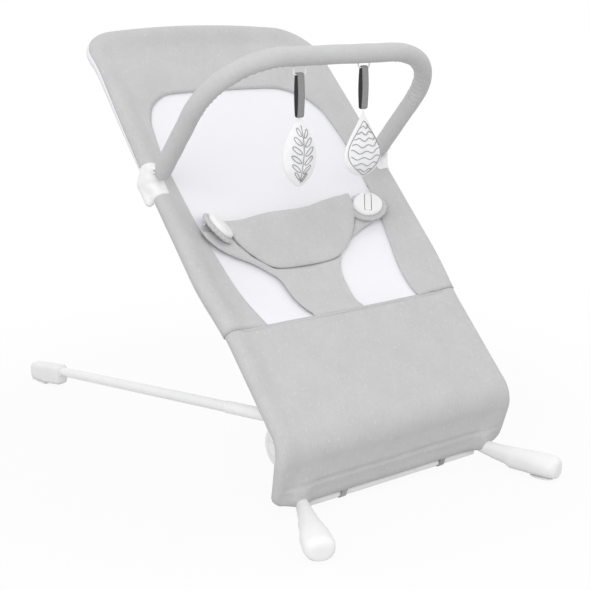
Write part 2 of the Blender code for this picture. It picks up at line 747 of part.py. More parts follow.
def toybar_route(low):
    """The toy bar's centre line, from its left end at height low over the pivot to its right end."""
    half = TOYBAR_HALF_WIDTH - (TOYBAR_HALF_WIDTH - TOYBAR_TOP_HALF_WIDTH) * low / TOYBAR_HEIGHT
    corners = [
        ((-half, 0.0, low), 0.0),
        ((-TOYBAR_TOP_HALF_WIDTH, 0.0, TOYBAR_HEIGHT), TOYBAR_CORNER),
        ((TOYBAR_TOP_HALF_WIDTH, 0.0, TOYBAR_HEIGHT), TOYBAR_CORNER),
        ((half, 0.0, low), 0.0),
    ]
    return rounded_route(corners)


def toybar():
    """The padded bar: core tube, end plugs on their pins, and the cloth cover."""
    end = TOYBAR_CORE_RADIUS + GAP
    plug_top = TOYBAR_PLUG_LENGTH
    core = toybar_route(plug_top + GAP)
    inner = tube_mesh(stretched(core, OVERCUT), TOYBAR_CORE_RADIUS - TUBE_WALL, resolution=2)
    hollow("toybar_core", tube_mesh(core, TOYBAR_CORE_RADIUS), inner, WHITE_ENAMEL, TOYBAR)
    cover_low = -TOYBAR_COVER_RADIUS
    line = toybar_route(0.0)
    turns = [math.radians(degrees) for degrees in COVER_END_TURNS]
    ends = [math.sin(turn) for turn in turns]
    drops = [cover_low * math.cos(turn) for turn in turns]
    left = [Vector((-TOYBAR_HALF_WIDTH, 0.0, z)) for z in drops]
    right = [Vector((TOYBAR_HALF_WIDTH, 0.0, z)) for z in reversed(drops)]
    scales = ends + [1.0] * (len(line) - 2) + ends[::-1]
    outer = tube_mesh(left + line[1:-1] + right, TOYBAR_COVER_RADIUS, scales)
    room = tube_mesh(toybar_route(-end), end)
    cover = hollow("toybar_cover", outer, room, GREY_CLOTH, TOYBAR)
    for name, side in SIDES.items():
        x = side * TOYBAR_HALF_WIDTH
        far = x + side * (TOYBAR_COVER_RADIUS + 2.0 * GAP + CLAMP_EAR_THICKNESS)
        hole = cylinder_mesh((x, 0.0, 0.0), (far, 0.0, 0.0), PIVOT_PIN_RADIUS + GAP, ROD_SIDES)
        boolean(cover, cutter(f"cover_hole_{name}", hole, TOYBAR), "DIFFERENCE")
        inward = (core[1] - core[0]) if side < 0 else (core[-2] - core[-1])
        lean = inward.normalized()
        foot = Vector((x, 0.0, 0.0)) - lean * TOYBAR_CORE_RADIUS
        head = foot + lean * (TOYBAR_CORE_RADIUS + plug_top)
        body = cylinder_mesh(foot, head, TOYBAR_PLUG_RADIUS, ROD_SIDES)
        plug = add(f"toybar_plug_{name}", body, WHITE_PLASTIC, TOYBAR)
        spigot_radius = TOYBAR_CORE_RADIUS - TUBE_WALL - 3.0 * GAP
        tip = head + lean * TOYBAR_SPIGOT_LENGTH
        spigot = cylinder_mesh(head - lean * OVERCUT, tip, spigot_radius, PEG_SIDES)
        boolean(plug, cutter(f"plug_spigot_{name}", spigot, TOYBAR), "UNION")
        pin_start = x - side * TOYBAR_CORE_RADIUS / 2.0
        plug_hole = cylinder_mesh(
            (pin_start - side * GAP, 0.0, 0.0), (far, 0.0, 0.0), PIVOT_PIN_RADIUS + GAP, ROD_SIDES
        )
        boolean(plug, cutter(f"plug_bore_{name}", plug_hole, TOYBAR), "DIFFERENCE")
        pin_end = far - side * GAP
        pin = cylinder_mesh((pin_start, 0.0, 0.0), (pin_end, 0.0, 0.0), PIVOT_PIN_RADIUS, ROD_SIDES)
        add(f"toybar_pin_{name}", pin, STEEL, TOYBAR)


def strap_clip(name, place, drop):
    """The white wire loop under the bar that a toy's strap hangs on."""
    half = STRAP_WIDTH / 2.0 + 3.0 * CLIP_WIRE
    top = drop - GAP
    corners = [
        ((-half, 0.0, top), 0.0),
        ((-half, 0.0, 0.0), 2.0 * CLIP_WIRE),
        ((half, 0.0, 0.0), 2.0 * CLIP_WIRE),
        ((half, 0.0, top), 0.0),
    ]
    wire = tube_mesh(rounded_route(corners, WIRE_STEP), CLIP_WIRE, resolution=2)
    add(name, wire, WHITE_PLASTIC, place)


def toy_strap(name, place):
    """A strap: one flat loop of webbing round the clip's wire and down to the toy."""
    radius = STRAP_BEND
    drop = STRAP_LENGTH - radius
    outer = [(radius + STRAP_THICKNESS, -drop), (radius + STRAP_THICKNESS, 0.0)]
    inner = [(radius, -drop), (radius, 0.0)]

    def half_ring(size, centre, flip):
        turns = [math.pi * k / STRAP_TURNS for k in range(1, STRAP_TURNS)]
        return [(size * math.cos(turn), centre + flip * size * math.sin(turn)) for turn in turns]

    def loop(size):
        top = half_ring(size, 0.0, 1.0)
        bottom = [(-x, z) for x, z in half_ring(size, -drop, -1.0)]
        return [(size, -drop), (size, 0.0)] + top + [(-size, 0.0), (-size, -drop)] + bottom

    band = add(name, plate_mesh(loop(outer[0][0]), STRAP_WIDTH), DARK_WEBBING, place)
    band.rotation_euler = (math.pi / 2.0, 0.0, math.pi / 2.0)
    band.location = (0.0, 0.0, -STRAP_SLACK)
    room = cutter(f"{name}_inside", plate_mesh(loop(inner[0][0]), 2.0 * STRAP_WIDTH), place)
    room.rotation_euler = band.rotation_euler
    room.location = band.location
    boolean(band, room, "DIFFERENCE")


def toy_leaf(name, place, width, length, thickness, taper):
    """A stuffed leaf: lens-shaped sections that swell in the middle and close at both ends."""
    top = -STRAP_SLACK - STRAP_LENGTH - STRAP_THICKNESS - GAP
    rings = []
    for row in range(LEAF_ROWS + 1):
        share = LEAF_BLUNT + (1.0 - 2.0 * LEAF_BLUNT) * row / LEAF_ROWS
        swell = math.sin(math.pi * share**taper) ** LEAF_FULLNESS
        ring = []
        for k in range(LEAF_SIDES):
            angle = 2.0 * math.pi * k / LEAF_SIDES
            bulge = abs(math.sin(angle)) ** LEAF_EDGE
            x = width / 2.0 * swell * math.cos(angle)
            y = thickness / 2.0 * swell**LEAF_PUFF * math.copysign(bulge, math.sin(angle))
            ring.append((x, y, top - length * row / LEAF_ROWS))
        rings.append(ring)
    add(name, loft_mesh(rings), TOY_CLOTH, place)


# Hubs, in frames on the pivot axis

def recline_plate(name, side):
    """The seat's half of a hub: a plate on the housing's boss, with the knuckle that fills the hoop's end."""
    inner = HUB_FACE + 2.0 * GAP
    outer = inner + PLATE_THICKNESS
    plate = add(f"recline_plate_{name}", along_x(side, inner, outer, HUB_RADIUS), WHITE_PLASTIC, SEAT)
    x = side * HOOP_KNEE_HALF_WIDTH
    start = HOOP_WRAP + GAP / KNEE_TUBE_RADIUS
    knuckle = [start + KNUCKLE_WRAP * share for share in (0.0, 0.06, 0.5, 1.0)]
    body = tube_mesh([(x, *rim_point(angle)) for angle in knuckle], HOOP_RADIUS)
    boolean(plate, cutter(f"knuckle_{name}", body, SEAT), "UNION")
    half = HUB_RING_RADIUS * KNUCKLE_WRAP / 2.0 - GAP
    low_x, high_x = sorted((side * inner, x))
    web_low, web_high = HUB_RING_RADIUS + 2.0 * GAP, KNEE_TUBE_RADIUS + HOOP_RADIUS / 2.0
    web = box_mesh((low_x, -half, web_low), (high_x, half, web_high))
    arm = cutter(f"plate_arm_{name}", web, SEAT)
    arm.rotation_euler = (start + KNUCKLE_WRAP / 2.0, 0.0, 0.0)
    boolean(plate, arm, "UNION")
    spigot = [(x, *rim_point(start + GAP))]
    spigot_end = KNEE_TUBE_RADIUS * HOOP_WRAP + HOOP_RADIUS
    spigot += [seat_point(x, u, hoop_height(u)) for u in (-KNEE_RADIUS * HOOP_WRAP / 2.0, 0.0, spigot_end)]
    inside = tube_mesh(spigot, HOOP_RADIUS - TUBE_WALL - 3.0 * GAP, resolution=2)
    boolean(plate, cutter(f"hoop_spigot_{name}", inside, SEAT), "UNION")
    bore = along_x(side, inner - OVERCUT, outer + OVERCUT, BOSS_RADIUS + GAP)
    boolean(plate, cutter(f"plate_bore_{name}", bore, SEAT), "DIFFERENCE")


def rim_world(angle, radius=KNEE_TUBE_RADIUS):
    """A point around the pivot in the hub's upright frame, at the same angle as rim_point."""
    turned = math.pi / 2.0 + RECLINE + angle
    return radius * math.cos(turned), radius * math.sin(turned)


def hub_housing(name, side):
    """The base's half of a hub: housing with boss and button recess, leg and stem sockets, and rod cup."""
    place = HUBS[name]
    boss_end = HUB_FACE + 2.0 * GAP + PLATE_THICKNESS
    made = add(f"hub_housing_{name}", along_x(side, HUB_INNER, HUB_FACE, HUB_RADIUS), WHITE_PLASTIC, place)
    boss = along_x(side, HUB_FACE - OVERCUT, boss_end, BOSS_RADIUS)
    boolean(made, cutter(f"boss_{name}", boss, place), "UNION")
    x = side * HEM_ROD_HALF_WIDTH
    angles = [HEM_ROD_START + CUP_WRAP * k / 3.0 for k in range(4)]
    cup = tube_mesh([(x, *rim_world(angle)) for angle in angles], CUP_RADIUS)
    boolean(made, cutter(f"rod_cup_{name}", cup, place), "UNION")
    middle = (angles[0] + angles[-1]) / 2.0
    half = KNEE_TUBE_RADIUS * CUP_WRAP / 2.0 - OVERCUT
    arm_top = KNEE_TUBE_RADIUS + HEM_ROD_RADIUS
    low_x, high_x = sorted((side * (HUB_INNER + CUP_ARM_INSET), x))
    bridge = box_mesh((low_x, -half, HUB_RADIUS + GAP), (high_x, half, arm_top))
    arm = cutter(f"cup_arm_{name}", bridge, place)
    arm.rotation_euler = (RECLINE + middle, 0.0, 0.0)
    boolean(made, arm, "UNION")
    low_x, high_x = sorted((side * (HUB_INNER + CUP_ARM_INSET + OVERCUT), side * (HUB_FACE - GAP)))
    root_half, root_top = half - GAP, arm_top - OVERCUT
    base = box_mesh((low_x, -root_half, BOSS_RADIUS), (high_x, root_half, root_top))
    root = cutter(f"cup_root_{name}", base, place)
    root.rotation_euler = (RECLINE + middle, 0.0, 0.0)
    boolean(made, root, "UNION")
    recess = along_x(side, boss_end - HUB_RECESS_DEPTH, boss_end + OVERCUT, HUB_BUTTON_RADIUS + GAP)
    boolean(made, cutter(f"recess_{name}", recess, place), "DIFFERENCE")
    leg = tube_mesh(stretched(leg_route(side)[:3], GAP), LEG_RADIUS + GAP)
    boolean(made, cutter(f"leg_socket_{name}", leg, BASE), "DIFFERENCE")
    stem = tube_mesh(stretched(stem_route(side), GAP), LEG_RADIUS + GAP, resolution=4)
    boolean(made, cutter(f"stem_socket_{name}", stem, BASE), "DIFFERENCE")
    route = hem_rod_route()
    near = route[:len(route) // 4] if side < 0 else route[-(len(route) // 4):]
    rod = tube_mesh(near, HEM_ROD_RADIUS + GAP)
    boolean(made, cutter(f"rod_socket_{name}", rod, BASE), "DIFFERENCE")


def hub_trim(name, side):
    """The retaining ring, the release button and the inner cover of a hub."""
    place = HUBS[name]
    boss_end = HUB_FACE + 2.0 * GAP + PLATE_THICKNESS
    ring_in = boss_end + GAP
    ring_out = ring_in + HUB_RING_THICKNESS
    ring = add(f"hub_ring_{name}", along_x(side, ring_in, ring_out, HUB_RING_RADIUS), STEEL, place)
    hole = along_x(side, ring_in - OVERCUT, ring_out + OVERCUT, HUB_BUTTON_RADIUS + GAP)
    boolean(ring, cutter(f"ring_hole_{name}", hole, place), "DIFFERENCE")
    face = ring_out + HUB_BUTTON_PROUD
    button = along_x(side, face - HUB_BUTTON_LENGTH, face, HUB_BUTTON_RADIUS)
    round_edges(add(f"hub_button_{name}", button, WHITE_PLASTIC, place), EDGE_ROUNDING, 1)
    cover_far = HUB_INNER - GAP
    cover = along_x(side, cover_far - HUB_COVER_THICKNESS, cover_far, HUB_RADIUS - EDGE_ROUNDING)
    made = add(f"hub_cover_{name}", cover, WHITE_PLASTIC, place)
    round_edges(made, EDGE_ROUNDING, 1)


# Base: legs, feet, crossbar and hem

def leg_route(side):
    """A leg's centre line, from inside the hub housing over the bend and down to the rear foot."""
    hub = Vector((side * LEG_HUB_X, PIVOT_Y + LEG_START_BACK, PIVOT_HEIGHT + LEG_START_RISE))
    top = Vector((side * LEG_HUB_X, PIVOT_Y + LEG_TOP_REACH, LEG_TOP_Z))
    foot_y = PIVOT_Y + REAR_REACH - CAP_LENGTH + CAP_SOCKET
    rear = Vector((side * LEG_REAR_X, foot_y, LEG_REAR_Z))
    return rounded_route([(hub, 0.0), (top, LEG_BEND), (rear, 0.0)])


def split_leg(route):
    """The leg's route cut in two at the joint, LEG_SPLIT behind the pivot."""
    straight, rear = route[-2], route[-1]
    share = (PIVOT_Y + LEG_SPLIT - straight.y) / (rear.y - straight.y)
    joint = straight.lerp(rear, share)
    return route[:-1] + [joint], [joint, rear]


def legs(name, side):
    """The two tubes of one leg: the bent front one is swaged to plug into the straight rear one."""
    front, rear = split_leg(leg_route(side))
    along = (rear[1] - rear[0]).normalized()
    made = add(f"leg_front_{name}", tube_mesh(front, LEG_RADIUS), WHITE_ENAMEL, BASE)
    spigot_radius = LEG_RADIUS - TUBE_WALL - GAP
    root, tip = front[-1] - along * OVERCUT, front[-1] + along * LEG_SPIGOT
    spigot = cylinder_mesh(root, tip, spigot_radius, ROD_SIDES)
    boolean(made, cutter(f"leg_spigot_{name}", spigot, BASE), "UNION")
    start = rear[0] + along * GAP
    bore = LEG_RADIUS - TUBE_WALL
    outer = cylinder_mesh(start, rear[1], LEG_RADIUS, ROD_SIDES)
    inner = cylinder_mesh(start - along * OVERCUT, rear[1] + along * OVERCUT, bore, ROD_SIDES)
    hollow(f"leg_rear_{name}", outer, inner, WHITE_ENAMEL, BASE)


def leg_at(side, y):
    """The point of a rear leg's centre line at y."""
    route = leg_route(side)
    before, after = route[-2], route[-1]
    return before + (after - before) * ((y - before.y) / (after.y - before.y))


def cap_ring(centre, inset):
    """A rounded rectangle in an upright plane: the end cap's outline round the leg, drawn in by inset."""
    corner = max(CAP_ROUNDING - inset, GAP)
    half = CAP_WIDTH / 2.0 - inset - corner
    top = centre.z + CAP_RISE - inset - corner
    bottom = max(centre.z - CAP_DROP, FOOT_CLEAR) + inset + corner
    ring = []
    for turn, (x, z) in enumerate([(half, top), (-half, top), (-half, bottom), (half, bottom)]):
        for step in range(4):
            angle = (turn + step / 3.0) * math.pi / 2.0
            ring.append((centre.x + x + corner * math.cos(angle), centre.y, z + corner * math.sin(angle)))
    return ring


def rear_foot(name, side):
    """The rounded end cap round a rear leg, flat on the floor behind, with its rubber sole."""
    back = PIVOT_Y + REAR_REACH
    route = leg_route(side)
    along = (route[-1] - route[-2]).normalized()
    lift = leg_at(side, back).z - CAP_DROP - FOOT_CLEAR
    flat_from = back + lift * along.y / -along.z
    front = [(back - CAP_LENGTH + CAP_ROUNDING * step, CAP_ROUNDING * (1.0 - step)) for step in CAP_END_STEPS]
    rear = [(back - CAP_ROUNDING * step, CAP_ROUNDING * (1.0 - step)) for step in reversed(CAP_END_STEPS)]
    rings = [cap_ring(leg_at(side, y), inset) for y, inset in front + [(flat_from, 0.0)] + rear]
    made = add(f"rear_foot_{name}", loft_mesh(rings), WHITE_PLASTIC, BASE)
    mouth, bottom = route[-1] - along * 2.0 * CAP_SOCKET, route[-1] + along * GAP
    socket = cylinder_mesh(mouth, bottom, LEG_RADIUS + GAP, ROD_SIDES)
    boolean(made, cutter(f"cap_socket_{name}", socket, BASE), "DIFFERENCE")
    half = CAP_WIDTH / 2.0 - CAP_ROUNDING
    near, far = leg_at(side, flat_from), leg_at(side, back - CAP_ROUNDING)
    outline = [(near.x - half, near.y), (near.x + half, near.y), (far.x + half, far.y), (far.x - half, far.y)]
    pad = add(f"rear_sole_{name}", plate_mesh(outline, SOLE_THICKNESS), RUBBER, BASE)
    pad.location = (0.0, 0.0, SOLE_THICKNESS / 2.0)


def stem_route(side):
    """The round stem of a front foot, from the hub housing down to the neck at the crossbar."""
    top = Vector((side * LEG_HUB_X, PIVOT_Y - STEM_TOP_AHEAD, PIVOT_HEIGHT - STEM_TOP_DROP))
    neck = Vector((side * FOOT_NECK_X, PIVOT_Y - CROSSBAR_AHEAD, CROSSBAR_Z))
    return [top, neck]


def front_foot(name, side):
    """A front foot: the stem runs down past the crossbar and spreads into a splayed paddle."""
    top, neck = stem_route(side)
    toe_radius = FOOT_TOE_WIDTH / 2.0
    neck_radius = FOOT_NECK_WIDTH / 2.0
    down = Vector((neck.x, neck.y, 0.0))
    toe = Vector((side * FOOT_TOE_X, PIVOT_Y - FRONT_REACH + toe_radius, 0.0))
    heading = (toe - down).normalized()
    stem = (top, top.lerp(neck, STEM_STRAIGHT))
    rings = [round_ring(centre, neck - top, LEG_RADIUS, LEG_RADIUS) for centre in stem]
    for (share, spread), top_z in zip(FOOT_STATIONS, FOOT_TOP_HEIGHTS):
        wide = neck_radius + (toe_radius - neck_radius) * spread
        tall = (top_z - FOOT_CLEAR) / 2.0
        centre = down.lerp(toe, share)
        centre.z = FOOT_CLEAR + tall
        ahead = heading if share > 0.0 else heading + (neck - top).normalized()
        rings.append(round_ring(centre, ahead, wide, tall))
    end_top = FOOT_TOP_HEIGHTS[-1] - FOOT_CLEAR
    for turn in FOOT_TOE_TURNS:
        centre = toe + heading * toe_radius * math.sin(turn)
        tall = end_top * math.cos(turn) ** TOE_BLUNTNESS / 2.0
        centre.z = FOOT_CLEAR + tall
        rings.append(round_ring(centre, heading, toe_radius * math.cos(turn), tall))
    foot = add(f"front_foot_{name}", loft_mesh(rings), WHITE_PLASTIC, BASE)
    near, far = neck.x - 2.0 * neck_radius, neck.x + 2.0 * neck_radius
    rod_y = PIVOT_Y - HEM_ROD_AHEAD
    eye = cylinder_mesh((near, rod_y, HEM_ROD_Z), (far, rod_y, HEM_ROD_Z), HEM_ROD_RADIUS + GAP, ROD_SIDES)
    boolean(foot, cutter(f"rod_eye_{name}", eye, BASE), "DIFFERENCE")
    across = heading.cross(Vector((0.0, 0.0, 1.0))) * toe_radius * SOLE_SHARE
    heel = down.lerp(toe, SOLE_HEEL_AT)
    outline = [(heel - across).xy, (toe - across).xy, (toe + across).xy, (heel + across).xy]
    pad = add(f"front_sole_{name}", plate_mesh(outline, SOLE_THICKNESS), RUBBER, BASE)
    pad.location = (0.0, 0.0, SOLE_THICKNESS / 2.0)


def round_ring(centre, heading, half_wide, half_tall, count=PEG_SIDES):
    """A rounded ring square to a heading, with its width level."""
    ahead = heading.normalized()
    across = ahead.cross(Vector((0.0, 0.0, 1.0))).normalized()
    up = across.cross(ahead).normalized()
    ring = []
    for k in range(count):
        angle = 2.0 * math.pi * k / count
        ring.append(centre + across * half_wide * math.cos(angle) + up * half_tall * math.sin(angle))
    return ring


def crossbar():
    """The straight tube between the necks of the front feet."""
    half = FOOT_NECK_X - FOOT_NECK_WIDTH / 2.0 - 2.0 * GAP
    y = PIVOT_Y - CROSSBAR_AHEAD
    bore = CROSSBAR_RADIUS - TUBE_WALL
    outer = cylinder_mesh((-half, y, CROSSBAR_Z), (half, y, CROSSBAR_Z), CROSSBAR_RADIUS, ROD_SIDES)
    inner = cylinder_mesh((-half - OVERCUT, y, CROSSBAR_Z), (half + OVERCUT, y, CROSSBAR_Z), bore, ROD_SIDES)
    hollow("crossbar", outer, inner, WHITE_ENAMEL, BASE)


def hem_rod_route():
    """The rod inside the hem: round the pivot, down the side, across over the crossbar and up again."""
    y, z = -HEM_ROD_AHEAD, HEM_ROD_Z - PIVOT_HEIGHT
    lean = math.asin(KNEE_TUBE_RADIUS / math.hypot(y, z)) - math.atan2(-y, -z)
    start = HEM_ROD_START + GAP
    leave = math.pi / 2.0 - RECLINE + lean
    arc = [rim_world(start + (leave - start) * k / 3.0) for k in range(4)]
    half = HEM_ROD_HALF_WIDTH
    corners = [((half, *arc[-1]), 0.0), ((half, y, z), HEM_ROD_CORNER), ((0.0, y, z), 0.0)]
    side = [Vector((half, *point)) for point in arc] + rounded_route(corners)[1:-1]
    right = [Vector((0.0, PIVOT_Y, PIVOT_HEIGHT)) + point for point in side]
    left = [Vector((-p.x, p.y, p.z)) for p in right]
    return left + right[::-1]


def hem_rod():
    """The rod that carries the hem."""
    add("hem_rod", tube_mesh(hem_rod_route(), HEM_ROD_RADIUS), WHITE_ENAMEL, BASE)


def flap_profile():
    """The front flap's middle line in the hub's frame: round the knee, down, and under the hem rod."""
    reach = KNEE_RADIUS + PANEL_KNEE_LIFT
    y, z = -HEM_ROD_AHEAD, HEM_ROD_Z - PIVOT_HEIGHT
    lean = math.asin((reach - HEM_FOLD_RADIUS) / math.hypot(y, z)) - math.atan2(-y, -z)
    leave = math.pi / 2.0 - RECLINE + lean
    start = PANEL_KNEE_WRAP + 2.0 * GAP / KNEE_RADIUS
    bend = [start + (leave - start) * k / FLAP_ROWS for k in range(FLAP_ROWS + 1)]
    points = [Vector((0.0, *rim_world(angle, reach))) for angle in bend]
    for k in range(FOLD_ROWS + 1):
        angle = math.pi + lean + HEM_FOLD_WRAP * k / FOLD_ROWS
        across = HEM_FOLD_RADIUS * math.cos(angle)
        points.append(Vector((0.0, y + across, z + HEM_FOLD_RADIUS * math.sin(angle))))
    return points


def leg_flap():
    """The sling's front flap, from the knee down and round the hem rod, notched for the foot stems."""
    profile = flap_profile()
    half = HEM_ROD_HALF_WIDTH + HEM_ROD_RADIUS + FABRIC

    def place(a, b):
        row = profile[round(b * (len(profile) - 1))]
        return Vector(((2.0 * a - 1.0) * half, row.y, row.z))

    flap = add("leg_flap", sheet_mesh(2, len(profile) - 1, place), GREY_CLOTH, HUBS["left"])
    thicken(flap, FABRIC)
    for name, side in SIDES.items():
        x = side * FOOT_NECK_X
        front, back = PIVOT_Y - 2.0 * HEM_ROD_AHEAD, PIVOT_Y
        notch = box_mesh((x - STEM_NOTCH_HALF, front, 0.0), (x + STEM_NOTCH_HALF, back, STEM_NOTCH_TOP))
        boolean(flap, cutter(f"stem_notch_{name}", notch, BASE), "DIFFERENCE")


def hem_clip(name, side):
    """A bent strip of steel that hangs on the hem and grips the crossbar from below."""
    radius = CROSSBAR_RADIUS + GAP
    outer = radius + HEM_CLIP_THICKNESS
    top = CROSSBAR_RADIUS
    half = HEM_CLIP_WIDTH / 2.0
    turns = [math.pi + math.pi * k / PEG_SIDES for k in range(PEG_SIDES + 1)]
    inside = [(radius * math.cos(a), radius * math.sin(a)) for a in turns]
    outside = [(outer * math.cos(a), outer * math.sin(a)) for a in reversed(turns)]
    lip = HEM_CLIP_LIP
    outline = [(-radius, top)] + inside + [(radius, lip), (outer, lip)] + outside + [(-outer, top)]
    clip = add(name, plate_mesh(outline, 2.0 * half), STEEL, BASE)
    clip.rotation_euler = (math.pi / 2.0, 0.0, math.pi / 2.0)
    clip.location = (side * HEM_CLIP_X, PIVOT_Y - CROSSBAR_AHEAD, CROSSBAR_Z)


def build():
    """Make every piece."""
    seat_hoop()
    hoop_sleeve()
    sling_panels()
    waist_belt()
    toybar()
    crossbar()
    hem_rod()
    leg_flap()
    for name, side in SIDES.items():
        buckle(name)
        clamp(name, side)
        recline_plate(name, side)
        hub_housing(name, side)
        hub_trim(name, side)
        legs(name, side)
        rear_foot(name, side)
        front_foot(name, side)
        hem_clip(f"hem_clip_{name}", side)
    for n, name in enumerate(SIDES):
        strap_clip(f"strap_clip_{name}", TOYS[n], CLIP_DROP[n])
        toy_strap(f"toy_strap_{name}", TOYS[n])
        toy_leaf(f"toy_leaf_{name}", TOYS[n], TOY_WIDTH[n], TOY_LENGTH[n], TOY_THICKNESS[n], TOY_TAPER[n])


build()
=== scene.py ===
"""Baby bouncer: the cloth, padding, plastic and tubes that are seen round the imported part.

Metres, +Z up, the foot end faces -Y and the head end +Y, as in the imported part. Places on the seat are
given as (x, u, h): across, up the seat from the knee, and over the plane of the hoop's centre line.
"""

import logging
import math
from dataclasses import dataclass
from enum import Enum
from typing import Callable, Iterable, Sequence

import bmesh
import bpy
import numpy as np
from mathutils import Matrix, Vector, noise


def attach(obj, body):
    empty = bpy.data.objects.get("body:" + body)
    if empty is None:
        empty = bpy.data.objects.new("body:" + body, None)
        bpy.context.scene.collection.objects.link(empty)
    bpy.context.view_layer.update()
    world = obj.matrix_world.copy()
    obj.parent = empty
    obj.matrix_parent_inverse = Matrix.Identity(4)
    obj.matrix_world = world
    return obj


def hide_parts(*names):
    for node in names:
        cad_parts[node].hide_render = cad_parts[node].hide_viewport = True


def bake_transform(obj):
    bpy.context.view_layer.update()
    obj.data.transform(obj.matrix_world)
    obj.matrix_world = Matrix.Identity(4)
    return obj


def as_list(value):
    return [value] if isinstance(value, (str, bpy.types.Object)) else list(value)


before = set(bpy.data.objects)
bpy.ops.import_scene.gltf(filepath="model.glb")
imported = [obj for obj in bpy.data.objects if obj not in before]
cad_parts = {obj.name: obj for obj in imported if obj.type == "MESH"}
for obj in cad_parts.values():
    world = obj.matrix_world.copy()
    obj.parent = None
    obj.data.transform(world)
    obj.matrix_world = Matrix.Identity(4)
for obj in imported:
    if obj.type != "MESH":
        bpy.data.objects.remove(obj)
LOG = logging.getLogger("baby_bouncer")
QUARTER = math.pi / 2.0
WHOLE = 2.0 * math.pi
UPRIGHT = np.array([0.0, 0.0, 1.0])
BUMP_DISTANCE = 0.0002
CLOTH_MAP = "cloth"

Array = np.ndarray
Node = bpy.types.Node
Object = bpy.types.Object
Socket = bpy.types.NodeSocket
Tree = bpy.types.NodeTree
Colour = tuple[float, float, float]
Face = tuple[int, ...]


class Side(Enum):
    """The two sides of the part, by the sign of x."""

    LEFT = -1.0
    RIGHT = 1.0

    @property
    def label(self) -> str:
        """The side's word in node names."""
        return self.name.lower()


class Body(Enum):
    """The moving groups that pieces ride on."""

    BASE = "base"
    SEAT = "seat"
    TOY_BAR = "toybar"


class Slot(Enum):
    """The record's material slots."""

    CLOTH = "grey_melange_cloth"
    MESH = "white_mesh_cloth"
    WEBBING = "dark_webbing"
    TOY = "toy_cloth"
    PLASTIC = "white_plastic"
    ENAMEL = "white_enamel"
    STEEL = "bare_steel"
    RUBBER = "clear_grey_rubber"


# Node kit and shared shader groups


class NodeKit:
    """A short way to add and join nodes in one node tree."""

    def __init__(self, tree: Tree) -> None:
        """Work in one node tree."""
        self.tree = tree

    def add(self, kind: str, inputs: dict | None = None, **settings: object) -> Node:
        """Add a node, set its properties, and set or link its inputs.

        Args:
            kind: The node's type name.
            inputs: For each input, by name or number, a plain value or the socket that feeds it.
            **settings: The node's properties.

        Returns:
            The node.
        """
        node = self.tree.nodes.new(kind)
        for key, value in settings.items():
            setattr(node, key, value)
        self.feed(node, inputs or {})
        return node

    def effect(self, group: Tree, inputs: dict) -> Node:
        """Add a node with one of the shared shader groups."""
        return self.add("ShaderNodeGroup", inputs, node_tree=group)

    def feed(self, node: Node, inputs: dict) -> None:
        """Set or link some of a node's inputs."""
        for key, value in inputs.items():
            if isinstance(value, Socket):
                self.tree.links.new(value, node.inputs[key])
            else:
                node.inputs[key].default_value = value

    def math(self, operation: str, first: object, second: object = 0.0, clamp: bool = False) -> Socket:
        """The result of a Math node."""
        node = self.add("ShaderNodeMath", {0: first, 1: second}, operation=operation, use_clamp=clamp)
        return node.outputs[0]

    def times(self, first: object, second: object) -> Socket:
        """Two numbers multiplied."""
        return self.math("MULTIPLY", first, second)

    def noise(self, vector: Socket, scale: object, detail: float = 2.0) -> Socket:
        """The factor of a Noise Texture."""
        return self.add("ShaderNodeTexNoise", {"Vector": vector, "Scale": scale, "Detail": detail}).outputs[0]

    def remap(self, value: Socket, low: float, high: float, to: tuple[float, float] = (0.0, 1.0)) -> Socket:
        """A value moved from the range low to high to another range."""
        inputs = {"Value": value, "From Min": low, "From Max": high, "To Min": to[0], "To Max": to[1]}
        return self.add("ShaderNodeMapRange", inputs).outputs[0]

    def stretched(self, vector: Socket, scale: tuple[float, float, float]) -> Socket:
        """Coordinates scaled by one number for each axis."""
        return self.add("ShaderNodeVectorMath", {0: vector, 1: scale}, operation="MULTIPLY").outputs[0]

    def mix(self, factor: Socket, first: Colour, second: Colour) -> Socket:
        """Two colours mixed: the first one where the factor is 0, the second one where it is 1."""
        inputs = {"Factor": factor, 6: (*first, 1.0), 7: (*second, 1.0)}
        return self.add("ShaderNodeMix", inputs, data_type="RGBA").outputs[2]

    def waves(self, vector: Socket, operation: str, turn: Socket) -> Socket:
        """Waves along x multiplied by waves along y."""
        parts = self.add("ShaderNodeSeparateXYZ", {0: vector}).outputs
        across, along = (self.math(operation, self.times(parts[axis], turn)) for axis in (0, 1))
        return self.times(across, along)

    def seen(self) -> Socket:
        """1 for rays from the camera, reflections and glass, 0 for the light on surfaces."""
        rays = self.add("ShaderNodeLightPath").outputs
        direct = self.math("MAXIMUM", rays["Is Camera Ray"], rays["Is Glossy Ray"])
        return self.math("MAXIMUM", direct, rays["Is Transmission Ray"])


def new_group(name: str, numbers: dict[str, float], outputs: Sequence[str]) -> tuple[NodeKit, Sequence, Node]:
    """Start a shader node group that takes coordinates and numbers and gives numbers.

    Args:
        name: The group's name.
        numbers: Its number inputs with their defaults.
        outputs: Names of its outputs.

    Returns:
        A kit for the group, the sockets that it is given, and its output node.
    """
    tree = bpy.data.node_groups.new(name, "ShaderNodeTree")
    tree.interface.new_socket(name="Vector", in_out="INPUT", socket_type="NodeSocketVector")
    for label, default in numbers.items():
        socket = tree.interface.new_socket(name=label, in_out="INPUT", socket_type="NodeSocketFloat")
        socket.default_value = default
    for label in outputs:
        tree.interface.new_socket(name=label, in_out="OUTPUT", socket_type="NodeSocketFloat")
    kit = NodeKit(tree)
    return kit, kit.add("NodeGroupInput").outputs, kit.add("NodeGroupOutput")


